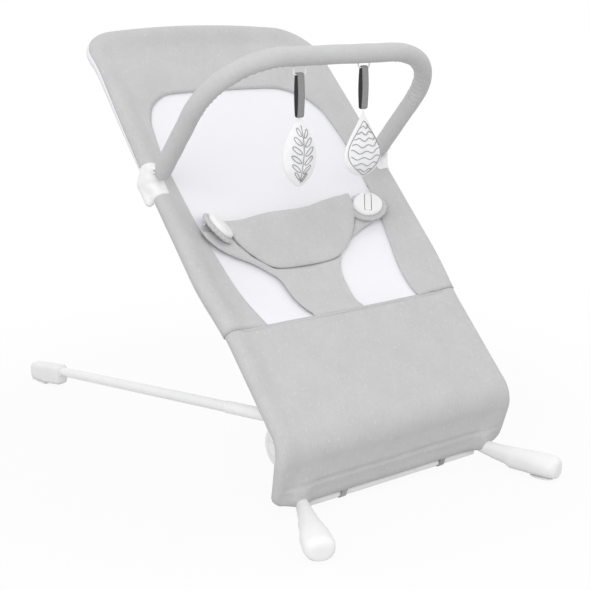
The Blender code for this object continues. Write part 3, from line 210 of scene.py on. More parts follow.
def weave_group() -> Tree:
    """Build the woven cloth group: crossing threads, and pale and dark fibres along them."""
    numbers, outputs = {"Threads": 900.0, "Slub": 1.0}, ("Height", "Melange", "Tone", "Fleck")
    kit, given, end = new_group("woven_threads", numbers, outputs)
    vector = given["Vector"]
    over = kit.waves(vector, "SINE", kit.times(given["Threads"], math.pi))
    warp = kit.noise(kit.stretched(vector, (900.0, 60.0, 60.0)), 1.0)
    weft = kit.noise(kit.stretched(vector, (60.0, 900.0, 60.0)), 1.0)
    fibres = kit.times(kit.math("ADD", warp, weft), 0.5)
    slub = kit.times(kit.math("SUBTRACT", fibres, 0.5), given["Slub"])
    height = kit.math("ADD", kit.times(over, 0.25), slub)
    fleck = kit.noise(kit.stretched(vector, (260.0, 130.0, 130.0)), 1.0, 1.0)
    kit.feed(end, {
        "Height": kit.math("ADD", height, 0.5), "Melange": kit.remap(fibres, 0.36, 0.64),
        "Tone": kit.remap(kit.noise(vector, 22.0, 3.0), 0.3, 0.7), "Fleck": kit.remap(fleck, 0.66, 0.73),
    })
    return kit.tree


def net_group() -> Tree:
    """Build the knitted mesh group: a net of fine threads round small staggered holes."""
    kit, given, end = new_group("knitted_net", {"Holes": 420.0}, ("Height", "Hole", "Tone"))
    vector = given["Vector"]
    hole = kit.remap(kit.waves(vector, "COSINE", kit.times(given["Holes"], WHOLE)), 0.25, 0.75)
    tone = kit.remap(kit.noise(vector, 14.0, 3.0), 0.3, 0.7)
    kit.feed(end, {"Height": kit.math("SUBTRACT", 1.0, hole), "Hole": hole, "Tone": tone})
    return kit.tree


def surface_group() -> Tree:
    """Build the hard surface group: fine moulding or paint texture, handling marks and settled dust."""
    kit, given, end = new_group("handled_surface", {"Grain": 2200.0}, ("Height", "Smudge", "Dust"))
    vector = given["Vector"]
    normal = kit.add("ShaderNodeSeparateXYZ", {0: kit.add("ShaderNodeNewGeometry").outputs["Normal"]})
    facing_up = kit.remap(normal.outputs[2], 0.2, 1.0)
    dust = kit.times(facing_up, kit.remap(kit.noise(vector, 120.0, 5.0), 0.45, 0.75))
    smudge = kit.remap(kit.noise(vector, 45.0, 4.0), 0.35, 0.7)
    kit.feed(end, {"Height": kit.noise(vector, given["Grain"]), "Smudge": smudge, "Dust": dust})
    return kit.tree


class Effects:
    """The shared shader groups, built once."""

    weave = weave_group()
    net = net_group()
    surface = surface_group()


# Finishes


@dataclass(frozen=True)
class Finish:
    """What every finish has: a name, a slot, a body colour and a second colour, roughness and a bump."""

    name: str
    slot: Slot
    colour: Colour
    second: Colour
    roughness: float
    bump: float

    def pattern(self, kit: NodeKit) -> tuple[Socket, Socket, dict]:
        """Add the finish's own nodes.

        Args:
            kit: The material's kit.

        Returns:
            The sockets with its colour and its height, and more inputs for the shader.
        """
        raise NotImplementedError

    def material(self) -> bpy.types.Material:
        """The finish's material, made on first use."""
        made = bpy.data.materials.get(self.name)
        if made:
            return made
        made = bpy.data.materials.new(self.name)
        made.use_nodes = True
        made.diffuse_color = (*self.colour, 1.0)
        kit = NodeKit(made.node_tree)
        colour, height, more = self.pattern(kit)
        bump = kit.add("ShaderNodeBump", {"Height": height, "Strength": self.bump, "Distance": BUMP_DISTANCE})
        inputs = {"Base Color": colour, "Roughness": self.roughness, "Normal": bump.outputs[0]}
        kit.feed(made.node_tree.nodes["Principled BSDF"], inputs | more)
        return made


@dataclass(frozen=True)
class WovenFinish(Finish):
    """Melange cloth or webbing, woven from pale and dark fibres, laid out in metres of the flat cloth."""

    threads: float = 900.0
    slub: float = 1.0
    sheen: float = 0.10
    sheen_roughness: float = 0.5
    fibres: float = 0.55
    tones: float = 0.30
    flecks: float = 0.8

    def pattern(self, kit: NodeKit) -> tuple[Socket, Socket, dict]:
        """Add fibres, slow changes of tone and flecks over the weave."""
        own = kit.add("ShaderNodeUVMap", uv_map=CLOTH_MAP).outputs[0]
        weave = kit.effect(Effects.weave, {"Vector": own, "Threads": self.threads, "Slub": self.slub})
        tone = kit.times(weave.outputs["Tone"], self.tones)
        mask = kit.math("ADD", kit.times(weave.outputs["Melange"], self.fibres), tone)
        mask = kit.math("ADD", mask, kit.times(weave.outputs["Fleck"], self.flecks), clamp=True)
        more = {"Sheen Weight": self.sheen, "Sheen Roughness": self.sheen_roughness}
        return kit.mix(mask, self.second, self.colour), weave.outputs["Height"], more


@dataclass(frozen=True)
class NetFinish(Finish):
    """White knitted mesh with fine holes."""

    holes: float = 420.0
    least_hole: float = 0.6

    def pattern(self, kit: NodeKit) -> tuple[Socket, Socket, dict]:
        """Add the net, with holes that show more in some places than in others."""
        own = kit.add("ShaderNodeUVMap", uv_map=CLOTH_MAP).outputs[0]
        net = kit.effect(Effects.net, {"Vector": own, "Holes": self.holes})
        depth = kit.remap(net.outputs["Tone"], 0.0, 1.0, (self.least_hole, 1.0))
        mask = kit.times(net.outputs["Hole"], depth)
        return kit.mix(mask, self.colour, self.second), net.outputs["Height"], {}


@dataclass(frozen=True)
class HardFinish(Finish):
    """Moulded plastic, enamel, steel or rubber."""

    metallic: float = 0.0
    coat: float = 0.0
    grain: float = 2200.0
    marks: float = 0.06
    soil: float = 0.5

    def pattern(self, kit: NodeKit) -> tuple[Socket, Socket, dict]:
        """Add grain, handling marks and dust."""
        place = kit.add("ShaderNodeTexCoord").outputs["Object"]
        surface = kit.effect(Effects.surface, {"Vector": place, "Grain": self.grain})
        smudge = surface.outputs["Smudge"]
        dust = kit.times(surface.outputs["Dust"], self.soil)
        mask = kit.math("ADD", kit.times(smudge, self.soil), dust, clamp=True)
        rough = kit.remap(smudge, 0.0, 1.0, (self.roughness - self.marks, self.roughness + self.marks))
        more = {"Roughness": rough, "Metallic": self.metallic, "Coat Weight": self.coat}
        return kit.mix(mask, self.colour, self.second), surface.outputs["Height"], more


def grey(level: float, blue: float) -> Colour:
    """A grey with its own blue."""
    return level, level, blue


class Finishes:
    """The part's finishes."""

    sling = WovenFinish("grey_sling_cloth", Slot.CLOTH, grey(0.590, 0.592), grey(0.490, 0.492), 0.95, 0.35)
    belt = WovenFinish("grey_belt_cloth", Slot.CLOTH, grey(0.60, 0.602), grey(0.50, 0.502), 0.95, 0.35)
    bar = WovenFinish("grey_bar_cloth", Slot.CLOTH, grey(0.61, 0.612), grey(0.52, 0.522), 0.95, 0.35)
    thread = WovenFinish("grey_sewing_thread", Slot.CLOTH, grey(0.50, 0.505), grey(0.42, 0.425), 0.8, 0.3)
    mesh = NetFinish("white_mesh", Slot.MESH, grey(0.87, 0.90), grey(0.78, 0.82), 0.9, 0.3)
    webbing = WovenFinish("strap_webbing", Slot.WEBBING, grey(0.33, 0.33), grey(0.24, 0.24), 0.9, 0.5, 700.0)
    # Near-black finish for the strap loop's inner faces: painted shade, standing in for the shade inside the
    # loop.
    lining = WovenFinish(
        "strap_inside_painted_shade", Slot.WEBBING, grey(0.07, 0.075), grey(0.04, 0.045), 0.9, 0.5, 700.0
    )
    toy = WovenFinish("white_toy_cloth", Slot.TOY, grey(0.93, 0.935), grey(0.86, 0.87), 0.95, 0.3)
    toy_thread = WovenFinish("grey_embroidery", Slot.TOY, grey(0.40, 0.42), grey(0.30, 0.32), 0.85, 0.4)
    plastic = HardFinish(
        "white_moulded_plastic", Slot.PLASTIC, grey(0.86, 0.863), grey(0.83, 0.832), 0.45, 0.03
    )
    enamel = HardFinish(
        "white_tube_enamel", Slot.ENAMEL, grey(0.88, 0.883), grey(0.85, 0.852), 0.35, 0.02, coat=0.3
    )
    steel = HardFinish("brushed_steel", Slot.STEEL, grey(0.80, 0.81), grey(0.66, 0.67), 0.28, 0.2, 1.0)
    dark_steel = HardFinish("dark_steel", Slot.STEEL, grey(0.36, 0.37), grey(0.16, 0.17), 0.25, 0.2, 1.0)
    rubber = HardFinish("grey_rubber", Slot.RUBBER, grey(0.88, 0.89), grey(0.85, 0.86), 0.8, 0.3)


# Mesh helpers


def unit(vectors: Array) -> Array:
    """Vectors scaled to length 1."""
    return vectors / np.maximum(np.linalg.norm(vectors, axis=-1, keepdims=True), 1e-12)


def smoothstep(value: Array | float) -> Array:
    """A smooth step from 0 to 1."""
    share = np.clip(value, 0.0, 1.0)
    return share * share * (3.0 - 2.0 * share)


def hill(value: Array, width: float) -> Array:
    """A smooth hill that is 1 where the value is 0 and dies away within about the width."""
    return np.exp(-((value / width) ** 2))


def round_edge(share: Array, power: float = 2) -> Array:
    """How full a padded piece is, by the share of the way from its edge."""
    return np.sqrt(np.clip(1.0 - (1.0 - np.clip(share, 0.0, 1.0)) ** power, 0.0, 1.0))


def circle(count: int) -> Array:
    """Angles spread evenly over a whole turn."""
    return np.linspace(0.0, WHOLE, count, endpoint=False)


def squared_circle(count: int, power: float) -> tuple[Array, Array]:
    """Cosines and sines round a circle that a power below 1 makes squarer."""
    turns = circle(count)
    return tuple(np.sign(wave) * np.abs(wave) ** power for wave in (np.cos(turns), np.sin(turns)))


def spread_round(side: Array, up: Array, turns: Array) -> Array:
    """At each point of a path, the directions from it at these angles from its side to its up."""
    return side[:, None, :] * np.cos(turns)[None, :, None] + up[:, None, :] * np.sin(turns)[None, :, None]


def arc_ring(half: float, low: float, high: float, radius: float, steps: int) -> list[tuple[float, float]]:
    """List the points of a box with rounded corners.

    Args:
        half: How far the arcs' middles lie to both sides.
        low: The lower arcs' middles.
        high: The upper arcs' middles.
        radius: The arcs' radius.
        steps: How many points each arc gets.

    Returns:
        The points, from the right against the clock.
    """
    ring = []
    for turn, (x, y) in enumerate(((half, high), (-half, high), (-half, low), (half, low))):
        for step in range(steps):
            angle = (turn + step / (steps - 1.0)) * QUARTER
            ring.append((x + radius * math.cos(angle), y + radius * math.sin(angle)))
    return ring


def places(*parts: Array | float) -> Array:
    """One array of places from an array for each coordinate."""
    return np.stack(np.broadcast_arrays(*parts), -1)


def lengths(path: Array) -> Array:
    """The distance along a path at each of its points."""
    return np.concatenate([[0.0], np.cumsum(np.linalg.norm(np.diff(path, axis=0), axis=1))])


def along_path(path: Array, along: Array, spots: Array | float) -> Array:
    """The values of a path at some distances along it."""
    return np.stack([np.interp(spots, along, path[:, k]) for k in range(path.shape[1])], -1)


def resampled(path: Array, count: int) -> Array:
    """The path as points that are spread evenly along it."""
    along = lengths(path)
    return along_path(path, along, np.linspace(0.0, along[-1], count))


def smooth_path(knots: Sequence[Sequence[float]], count: int) -> Array:
    """Pass a smooth curve through knots.

    Args:
        knots: The points that it passes through.
        count: How many points to return.

    Returns:
        The curve's points, evenly spread.
    """
    spots = np.array(knots, float)
    ends = [2.0 * spots[0] - spots[1], *spots, 2.0 * spots[-1] - spots[-2]]
    share = np.linspace(0.0, 1.0, 24, endpoint=False)[:, None]
    curve = []
    for before, here, there, after in zip(ends, ends[1:], ends[2:], ends[3:]):
        bend = 2.0 * before - 5.0 * here + 4.0 * there - after
        turn = 3.0 * here - before - 3.0 * there + after
        curve.append(here + 0.5 * ((there - before) * share + bend * share**2 + turn * share**3))
    return resampled(np.vstack([*curve, spots[-1:]]), count)


def rounded_path(corners: Sequence[tuple[Sequence[float], float]]) -> Array:
    """Turn each corner of a route as an arc.

    Args:
        corners: The corners, each with its fillet radius.

    Returns:
        The route's points.
    """
    points = [Vector(corners[0][0])]
    for (before, _), (corner, radius), (after, _) in zip(corners, corners[1:], corners[2:]):
        before, corner, after = Vector(before), Vector(corner), Vector(after)
        towards, away = (before - corner).normalized(), (after - corner).normalized()
        turn = math.pi - towards.angle(away)
        setback = radius * math.tan(turn / 2.0)
        centre = corner + (towards + away).normalized() * (radius / math.cos(turn / 2.0))
        start = corner + towards * setback - centre
        side = (corner + away * setback - centre - start * math.cos(turn)) / math.sin(turn)
        count = max(3, math.ceil(turn / math.radians(4.0)))
        for k in range(count + 1):
            angle = turn * k / count
            points.append(centre + start * math.cos(angle) + side * math.sin(angle))
    points.append(Vector(corners[-1][0]))
    return np.array([tuple(point) for point in points])


def path_frames(path: Array, hint: Array = UPRIGHT) -> tuple[Array, Array, Array]:
    """Find a frame at each point of a path that doesn't twist along it.

    Args:
        path: The path's points.
        hint: The direction that the first frame's side leans to.

    Returns:
        The tangents, the sides and the ups.
    """
    ahead = unit(np.gradient(path, axis=0))
    if abs(ahead[0] @ hint) > 0.95:
        hint = np.array([0.0, 1.0, 0.0])
    side = unit(hint - ahead[0] * (ahead[0] @ hint))
    sides = [side]
    for tangent in ahead[1:]:
        side = unit(side - tangent * (tangent @ side))
        sides.append(side)
    sides = np.array(sides)
    return ahead, sides, np.cross(ahead, sides)


def ripple(points: Array, scale: float, size: float, seed: float = 0.0) -> Array:
    """Gentle unevenness of cloth at some points, with a scale in waves to a metre and the largest height."""
    flat = points.reshape(-1, 3) * scale + seed
    heights = np.array([noise.noise(Vector(spot)) for spot in flat])
    return (heights * size).reshape(points.shape[:-1])


def grid_faces(rows: int, columns: int, first: int = 0, closed: bool = False) -> list[Face]:
    """List the quads of a grid.

    Args:
        rows: How many rows of points it has.
        columns: How many points a row has.
        first: The number of its first point.
        closed: Whether each row is a closed ring.

    Returns:
        The quads, by point numbers.
    """
    faces = []
    for row in range(rows - 1):
        for column in range(columns if closed else columns - 1):
            after = (column + 1) % columns
            low, high = first + row * columns, first + (row + 1) * columns
            faces.append((low + column, low + after, high + after, high + column))
    return faces


def skin_faces(rows: int, sides: int, first: int = 0) -> list[Face]:
    """List the faces of a closed skin of rings, its two ends last."""
    last = first + (rows - 1) * sides
    ends = [tuple(reversed(range(first, first + sides))), tuple(range(last, last + sides))]
    return grid_faces(rows, sides, first, True) + ends


def piece(name: str, points: Array, faces: Sequence[Face], cloth: Array | None = None) -> Object:
    """Make a smooth mesh piece.

    Args:
        name: The piece's name.
        points: Its points, in any array with three coordinates last.
        faces: Its faces, by point numbers.
        cloth: Each point's place on the flat cloth, in metres.

    Returns:
        The piece.
    """
    mesh = bpy.data.meshes.new(name)
    mesh.from_pydata(points.reshape(-1, 3).tolist(), [], [tuple(int(i) for i in face) for face in faces])
    mesh.polygons.foreach_set("use_smooth", [True] * len(mesh.polygons))
    layer = mesh.uv_layers.new(name=CLOTH_MAP)
    flat = points.reshape(-1, 3)[:, :2] if cloth is None else cloth.reshape(-1, 2)
    corners = np.empty(len(mesh.loops), np.int32)
    mesh.loops.foreach_get("vertex_index", corners)
    layer.data.foreach_set("uv", flat[corners].astype(np.float32).ravel())
    mesh.validate()
    made = bpy.data.objects.new(name, mesh)
    bpy.context.scene.collection.objects.link(made)
    return made


def skin(name: str, rings: Array, cloth: Array) -> Object:
    """Make a closed piece from an array of rings, points and coordinates."""
    return piece(name, rings, skin_faces(*rings.shape[:2]), cloth)


def flat_ends(made: Object) -> Object:
    """Shade a piece's two end faces flat, so that its sides stay evenly lit up to their edges."""
    for number in (-1, -2):
        made.data.polygons[number].use_smooth = False
    return made


def loft(name: str, rings: Array) -> Object:
    """Make a closed piece with flat ends from rings, measured along its middle and round its middle ring."""
    count, sides = rings.shape[:2]
    around = lengths(rings[count // 2])[:sides]
    return flat_ends(skin(name, rings, places(around[None, :], lengths(rings.mean(1))[:, None])))


def tube(name: str, path: Array, radius: float | Array, sides: int = 28) -> Object:
    """Sweep a round section along a path.

    Args:
        name: The piece's name.
        path: The path's points.
        radius: The radius, one number or one for each point.
        sides: How many points go round.

    Returns:
        The tube, which has one more ring close to each end, so that its sides stay evenly lit.
    """
    size = np.broadcast_to(np.asarray(radius, float), (len(path),))
    size = np.concatenate([size[:1], size, size[-1:]])
    first, last = path[1] - path[0], path[-2] - path[-1]
    near = [step * min(0.3, 0.0004 / float(np.linalg.norm(step))) for step in (first, last)]
    path = np.vstack([path[:1], path[0] + near[0], path[1:-1], path[-1] + near[1], path[-1:]])
    _, side, up = path_frames(path)
    turns = circle(sides)
    points = path[:, None, :] + size[:, None, None] * spread_round(side, up, turns)
    cloth = places(turns[None, :] * float(np.max(radius)), lengths(path)[:, None])
    return flat_ends(skin(name, points, cloth))


def bead(name: str, start: Array, end: Array, first: float, last: float) -> Object:
    """Build a rod with round ends whose radius changes along it.

    Args:
        name: The piece's name.
        start: The middle of its first end's ball.
        end: The middle of its last end's ball.
        first: The first ball's radius.
        last: The last ball's radius.

    Returns:
        The rod.
    """
    way = unit(end - start)
    turns = np.linspace(0.05, QUARTER, 9)
    whole = [(start - way * first * math.cos(t), first * math.sin(t)) for t in turns]
    whole += [(start + (end - start) * k, first + (last - first) * k) for k in (0.25, 0.5, 0.75)]
    whole += [(end + way * last * math.cos(t), last * math.sin(t)) for t in reversed(turns)]
    return tube(name, np.array([spot for spot, _ in whole]), np.array([size for _, size in whole]), 32)


def changed(made: Object, kind: str, **settings: object) -> Object:
    """Apply one modifier to a piece.

    Args:
        made: The piece.
        kind: The modifier's type.
        **settings: Its properties.

    Returns:
        The same piece.
    """
    step = made.modifiers.new(kind.lower(), kind)
    for key, value in settings.items():
        setattr(step, key, value)
    bpy.context.view_layer.update()
    shape = bpy.data.meshes.new_from_object(made.evaluated_get(bpy.context.evaluated_depsgraph_get()))
    old = made.data
    made.modifiers.clear()
    made.data = shape
    shape.name = made.name
    bpy.data.meshes.remove(old)
    return made


def thicken(made: Object, thickness: float) -> Object:
    """Give an open sheet its thickness, inwards from its outer face."""
    return changed(made, "SOLIDIFY", thickness=thickness, offset=-1.0)


def refine(made: Object) -> Object:
    """Subdivide a piece smoothly, once."""
    return changed(made, "SUBSURF", levels=1, render_levels=1)


def joined(name: str, pieces: Sequence[Object]) -> Object:
    """Join pieces into one mesh and use them up.

    Args:
        name: The name of the whole.
        pieces: The pieces.

    Returns:
        The whole.
    """
    points, faces, cloth, start = [], [], [], 0
    for part in pieces:
        mesh = part.data
        flat = np.zeros((len(mesh.vertices), 2))
        for loop, spot in zip(mesh.loops, mesh.uv_layers[CLOTH_MAP].data):
            flat[loop.vertex_index] = spot.uv
        points.append(np.array([vert.co for vert in mesh.vertices]))
        cloth.append(flat)
        faces += [tuple(start + i for i in face.vertices) for face in mesh.polygons]
        start += len(flat)
        bpy.data.objects.remove(part, do_unlink=True)
    return piece(name, np.vstack(points), faces, np.vstack(cloth))


def fused(name: str, pieces: Sequence[Object], voxel: float, smoothing: int) -> Object:
    """Melt closed pieces into one moulded form, with detail the size of a voxel, then smooth it."""
    made = changed(joined(name, pieces), "REMESH", mode="VOXEL", voxel_size=voxel)
    changed(made, "SMOOTH", factor=0.5, iterations=smoothing)
    made.data.polygons.foreach_set("use_smooth", [True] * len(made.data.polygons))
    return made


def cut(made: Object, tool: Object) -> None:
    """Cut one piece out of another, use it up, and sharpen the edges that the cut leaves."""
    changed(made, "BOOLEAN", object=tool, operation="DIFFERENCE", solver="EXACT")
    bpy.data.objects.remove(tool, do_unlink=True)
    changed(made, "EDGE_SPLIT", split_angle=math.radians(50.0))


def rounded_box(
    name: str, place: Callable, half: tuple[float, float], span: tuple[float, float], corner: float
) -> Object:
    """Build a block with rounded edges in a frame.

    Args:
        name: The piece's name.
        place: The frame.
        half: Its half width and half length.
        span: Its lowest and highest height.
        corner: Its corner radius.

    Returns:
        The block.
    """
    low, high = span
    levels = []
    for share in (0.0, 0.3, 0.6, 1.0):
        inset = corner * (1.0 - math.sin(share * QUARTER)) * 0.6
        levels.append((low + corner * 0.6 * (1.0 - math.cos(share * QUARTER)), inset))
    rings = []
    for z, inset in levels + [(low + high - z, inset) for z, inset in reversed(levels)]:
        x, y = (size - corner - inset * 0.5 for size in half)
        rings.append([(*spot, z) for spot in arc_ring(x, -y, y, corner - inset * 0.5, 6)])
    return loft(name, place(*np.moveaxis(np.array(rings), -1, 0)))


def stitches(name: str, path: Array, up: Array) -> Object:
    """Lay a run of short stitches along a path.

    Args:
        name: The run's name.
        path: The path's points, on the cloth.
        up: The direction off the cloth at each point.

    Returns:
        All the stitches as one piece.
    """
    length, gap, radius, sunk, sides, near = 0.0030, 0.0013, 0.00032, 0.4, 6, 0.0005
    shape = ((-0.5, 0.25), (-0.32, 0.95), (0.0, 1.1), (0.32, 0.95), (0.5, 0.25))
    along = lengths(path)
    count = max(1, int(along[-1] / (length + gap)))
    points, faces = [], []
    for n in range(count):
        middle = (n + 0.5) * along[-1] / count
        spot, ahead, behind = (along_path(path, along, middle + step) for step in (0.0, near, -near))
        tangent = unit(ahead - behind)
        lift = along_path(up, along, middle)
        lift = unit(lift - tangent * (lift @ tangent))
        across = np.cross(tangent, lift)
        faces += skin_faces(len(shape), sides, len(points))
        for shift, size in shape:
            for turn in circle(sides):
                off = across * math.cos(turn) + lift * math.sin(turn)
                points.append(spot + tangent * shift * length + off * radius * size + lift * radius * sunk)
    return piece(name, np.array(points), faces)


def one_side(made: Object) -> float:
    """The area of one side of a thickened sheet."""
    return sum(face.area for face in made.data.polygons) / 2.0


def dress(made: Object, body: Body | str, finish: Finish, *nodes: str) -> None:
    """Give a piece its finish, the body that it rides on, and the nodes that it stands for.

    Args:
        made: The piece.
        body: The body.
        finish: The finish.
        *nodes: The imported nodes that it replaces.
    """
    made.data.materials.clear()
    made.data.materials.append(finish.material())
    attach(made, body.value if isinstance(body, Body) else body)
    if nodes:
        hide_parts(*nodes)
    LOG.info("%s: %s, %d faces", made.name, finish.name, len(made.data.polygons))


# The seat's shape, which several pieces share


@dataclass(frozen=True)
class SeatShape:
    """Where the seat lies, its hoop, and the surface that the sling hangs in."""

    pivot_y: float = -0.26175
    pivot_z: float = 0.0916
    recline: float = math.radians(43.4)
    knee: float = 0.0350
    hoop_half: float = 0.1948
    hoop_knee_half: float = 0.1862
    hood_half: float = 0.1914
    taper: tuple[float, float] = (0.1300, 0.2400)
    hood_taper: tuple[float, float] = (0.4500, 0.6500)
    hoop_length: float = 0.6985
    hoop_corner: float = 0.0520
    crown_turn: float = math.radians(7.0)
    hood_bend: float = 0.0147
    hood_bends_at: float = 0.6000
    knee_rise: float = 0.0020
    knee_rise_ends: tuple[float, float] = (0.1700, 0.0800)
    hoop_radius: float = 0.0080
    sleeve: float = 0.0099
    roll: float = 0.0096
    seam_at: float = 0.1520
    sag_depth: float = 0.0400
    sag_full: float = 0.2430
    sag_fades: float = 0.4330
    sag_ends: float = 0.7030
    edge_lift: float = 0.0040
    knee_lift: float = 0.0012

    def world(self, x: Array, u: Array, z: Array) -> Array:
        """Points of the seat's own frame: across, up the seat, and square to it from the pivot."""
        cos, sin = math.cos(self.recline), math.sin(self.recline)
        return places(x, self.pivot_y + u * cos - z * sin, self.pivot_z + u * sin + z * cos)

    def on_seat(self, x: Array, u: Array, h: Array) -> Array:
        """Points at a height over the hoop's plane, which bends back at the hood."""
        share = (np.asarray(u, float) - self.hood_bends_at) / (self.hoop_length - self.hood_bends_at)
        return self.world(x, u, self.knee + np.asarray(h, float) - self.hood_bend * smoothstep(share))

    def normal(self) -> Array:
        """The direction square to the seat."""
        return np.array([0.0, -math.sin(self.recline), math.cos(self.recline)])

    def half_width(self, u: Array) -> Array:
        """Half width between the hoop's centre lines."""
        u = np.asarray(u, float)
        low = smoothstep((u - self.taper[0]) / (self.taper[1] - self.taper[0]))
        high = smoothstep((u - self.hood_taper[0]) / (self.hood_taper[1] - self.hood_taper[0]))
        wide = self.hoop_knee_half + (self.hoop_half - self.hoop_knee_half) * low
        return wide - (self.hoop_half - self.hood_half) * high

    def hoop_rise(self, u: Array) -> Array:
        """Height of the hoop's centre line, a little more near the knee."""
        start, span = self.knee_rise_ends
        return self.knee_rise * (1.0 - smoothstep((np.asarray(u, float) - start) / span))

    def edge(self, u: Array) -> Array:
        """Height of the sling where it meets the sleeve."""
        share = smoothstep(np.asarray(u, float) / self.seam_at)
        return self.knee_lift + (self.edge_lift - self.knee_lift) * share

    def sag(self, u: Array) -> Array:
        """Depth of the sling's sag in the middle."""
        u = np.asarray(u, float)
        rise = 1.0 - ((self.sag_full - u) / (self.sag_full - self.seam_at)) ** 2
        fade = 1.0 - np.minimum((u - self.sag_fades) / (self.sag_ends - self.sag_fades), 1.0) ** 2
        depth = np.where(u < self.sag_full, rise, np.where(u < self.sag_fades, 1.0, fade))
        return self.sag_depth * np.where(u < self.seam_at, 0.0, depth)

    def height(self, x: Array, u: Array) -> Array:
        """Height of the sling's middle surface."""
        share = np.minimum(np.abs(x) / (self.half_width(u) - self.sleeve), 1.0)
        return self.edge(u) - self.sag(u) * (1.0 - share * share)

    def hoop_half_path(self, low: float) -> Array:
        """Follow the right half of the hoop's centre line in its plane.

        Args:
            low: Where up the seat it starts.

        Returns:
            Points (x, u): 60 up the side, 23 round the corner and 29 along the crown.
        """
        last = QUARTER - self.crown_turn
        crown_x = self.hood_half - self.hoop_corner * (1.0 - math.cos(last))
        crown = crown_x * math.tan(self.crown_turn) / 2.0
        centre_u = self.hoop_length - crown - self.hoop_corner * math.sin(last)
        path = [(float(self.half_width(u)), u) for u in np.linspace(low, centre_u, 60)]
        for turn in np.linspace(0.0, last, 24)[1:]:
            across = self.hood_half - self.hoop_corner * (1.0 - math.cos(turn))
            path.append((across, centre_u + self.hoop_corner * math.sin(turn)))
        for x in np.linspace(crown_x, 0.0, 30)[1:]:
            path.append((x, self.hoop_length - crown * (x / crown_x) ** 2))
        return np.array(path)


SEAT = SeatShape()


# The sling


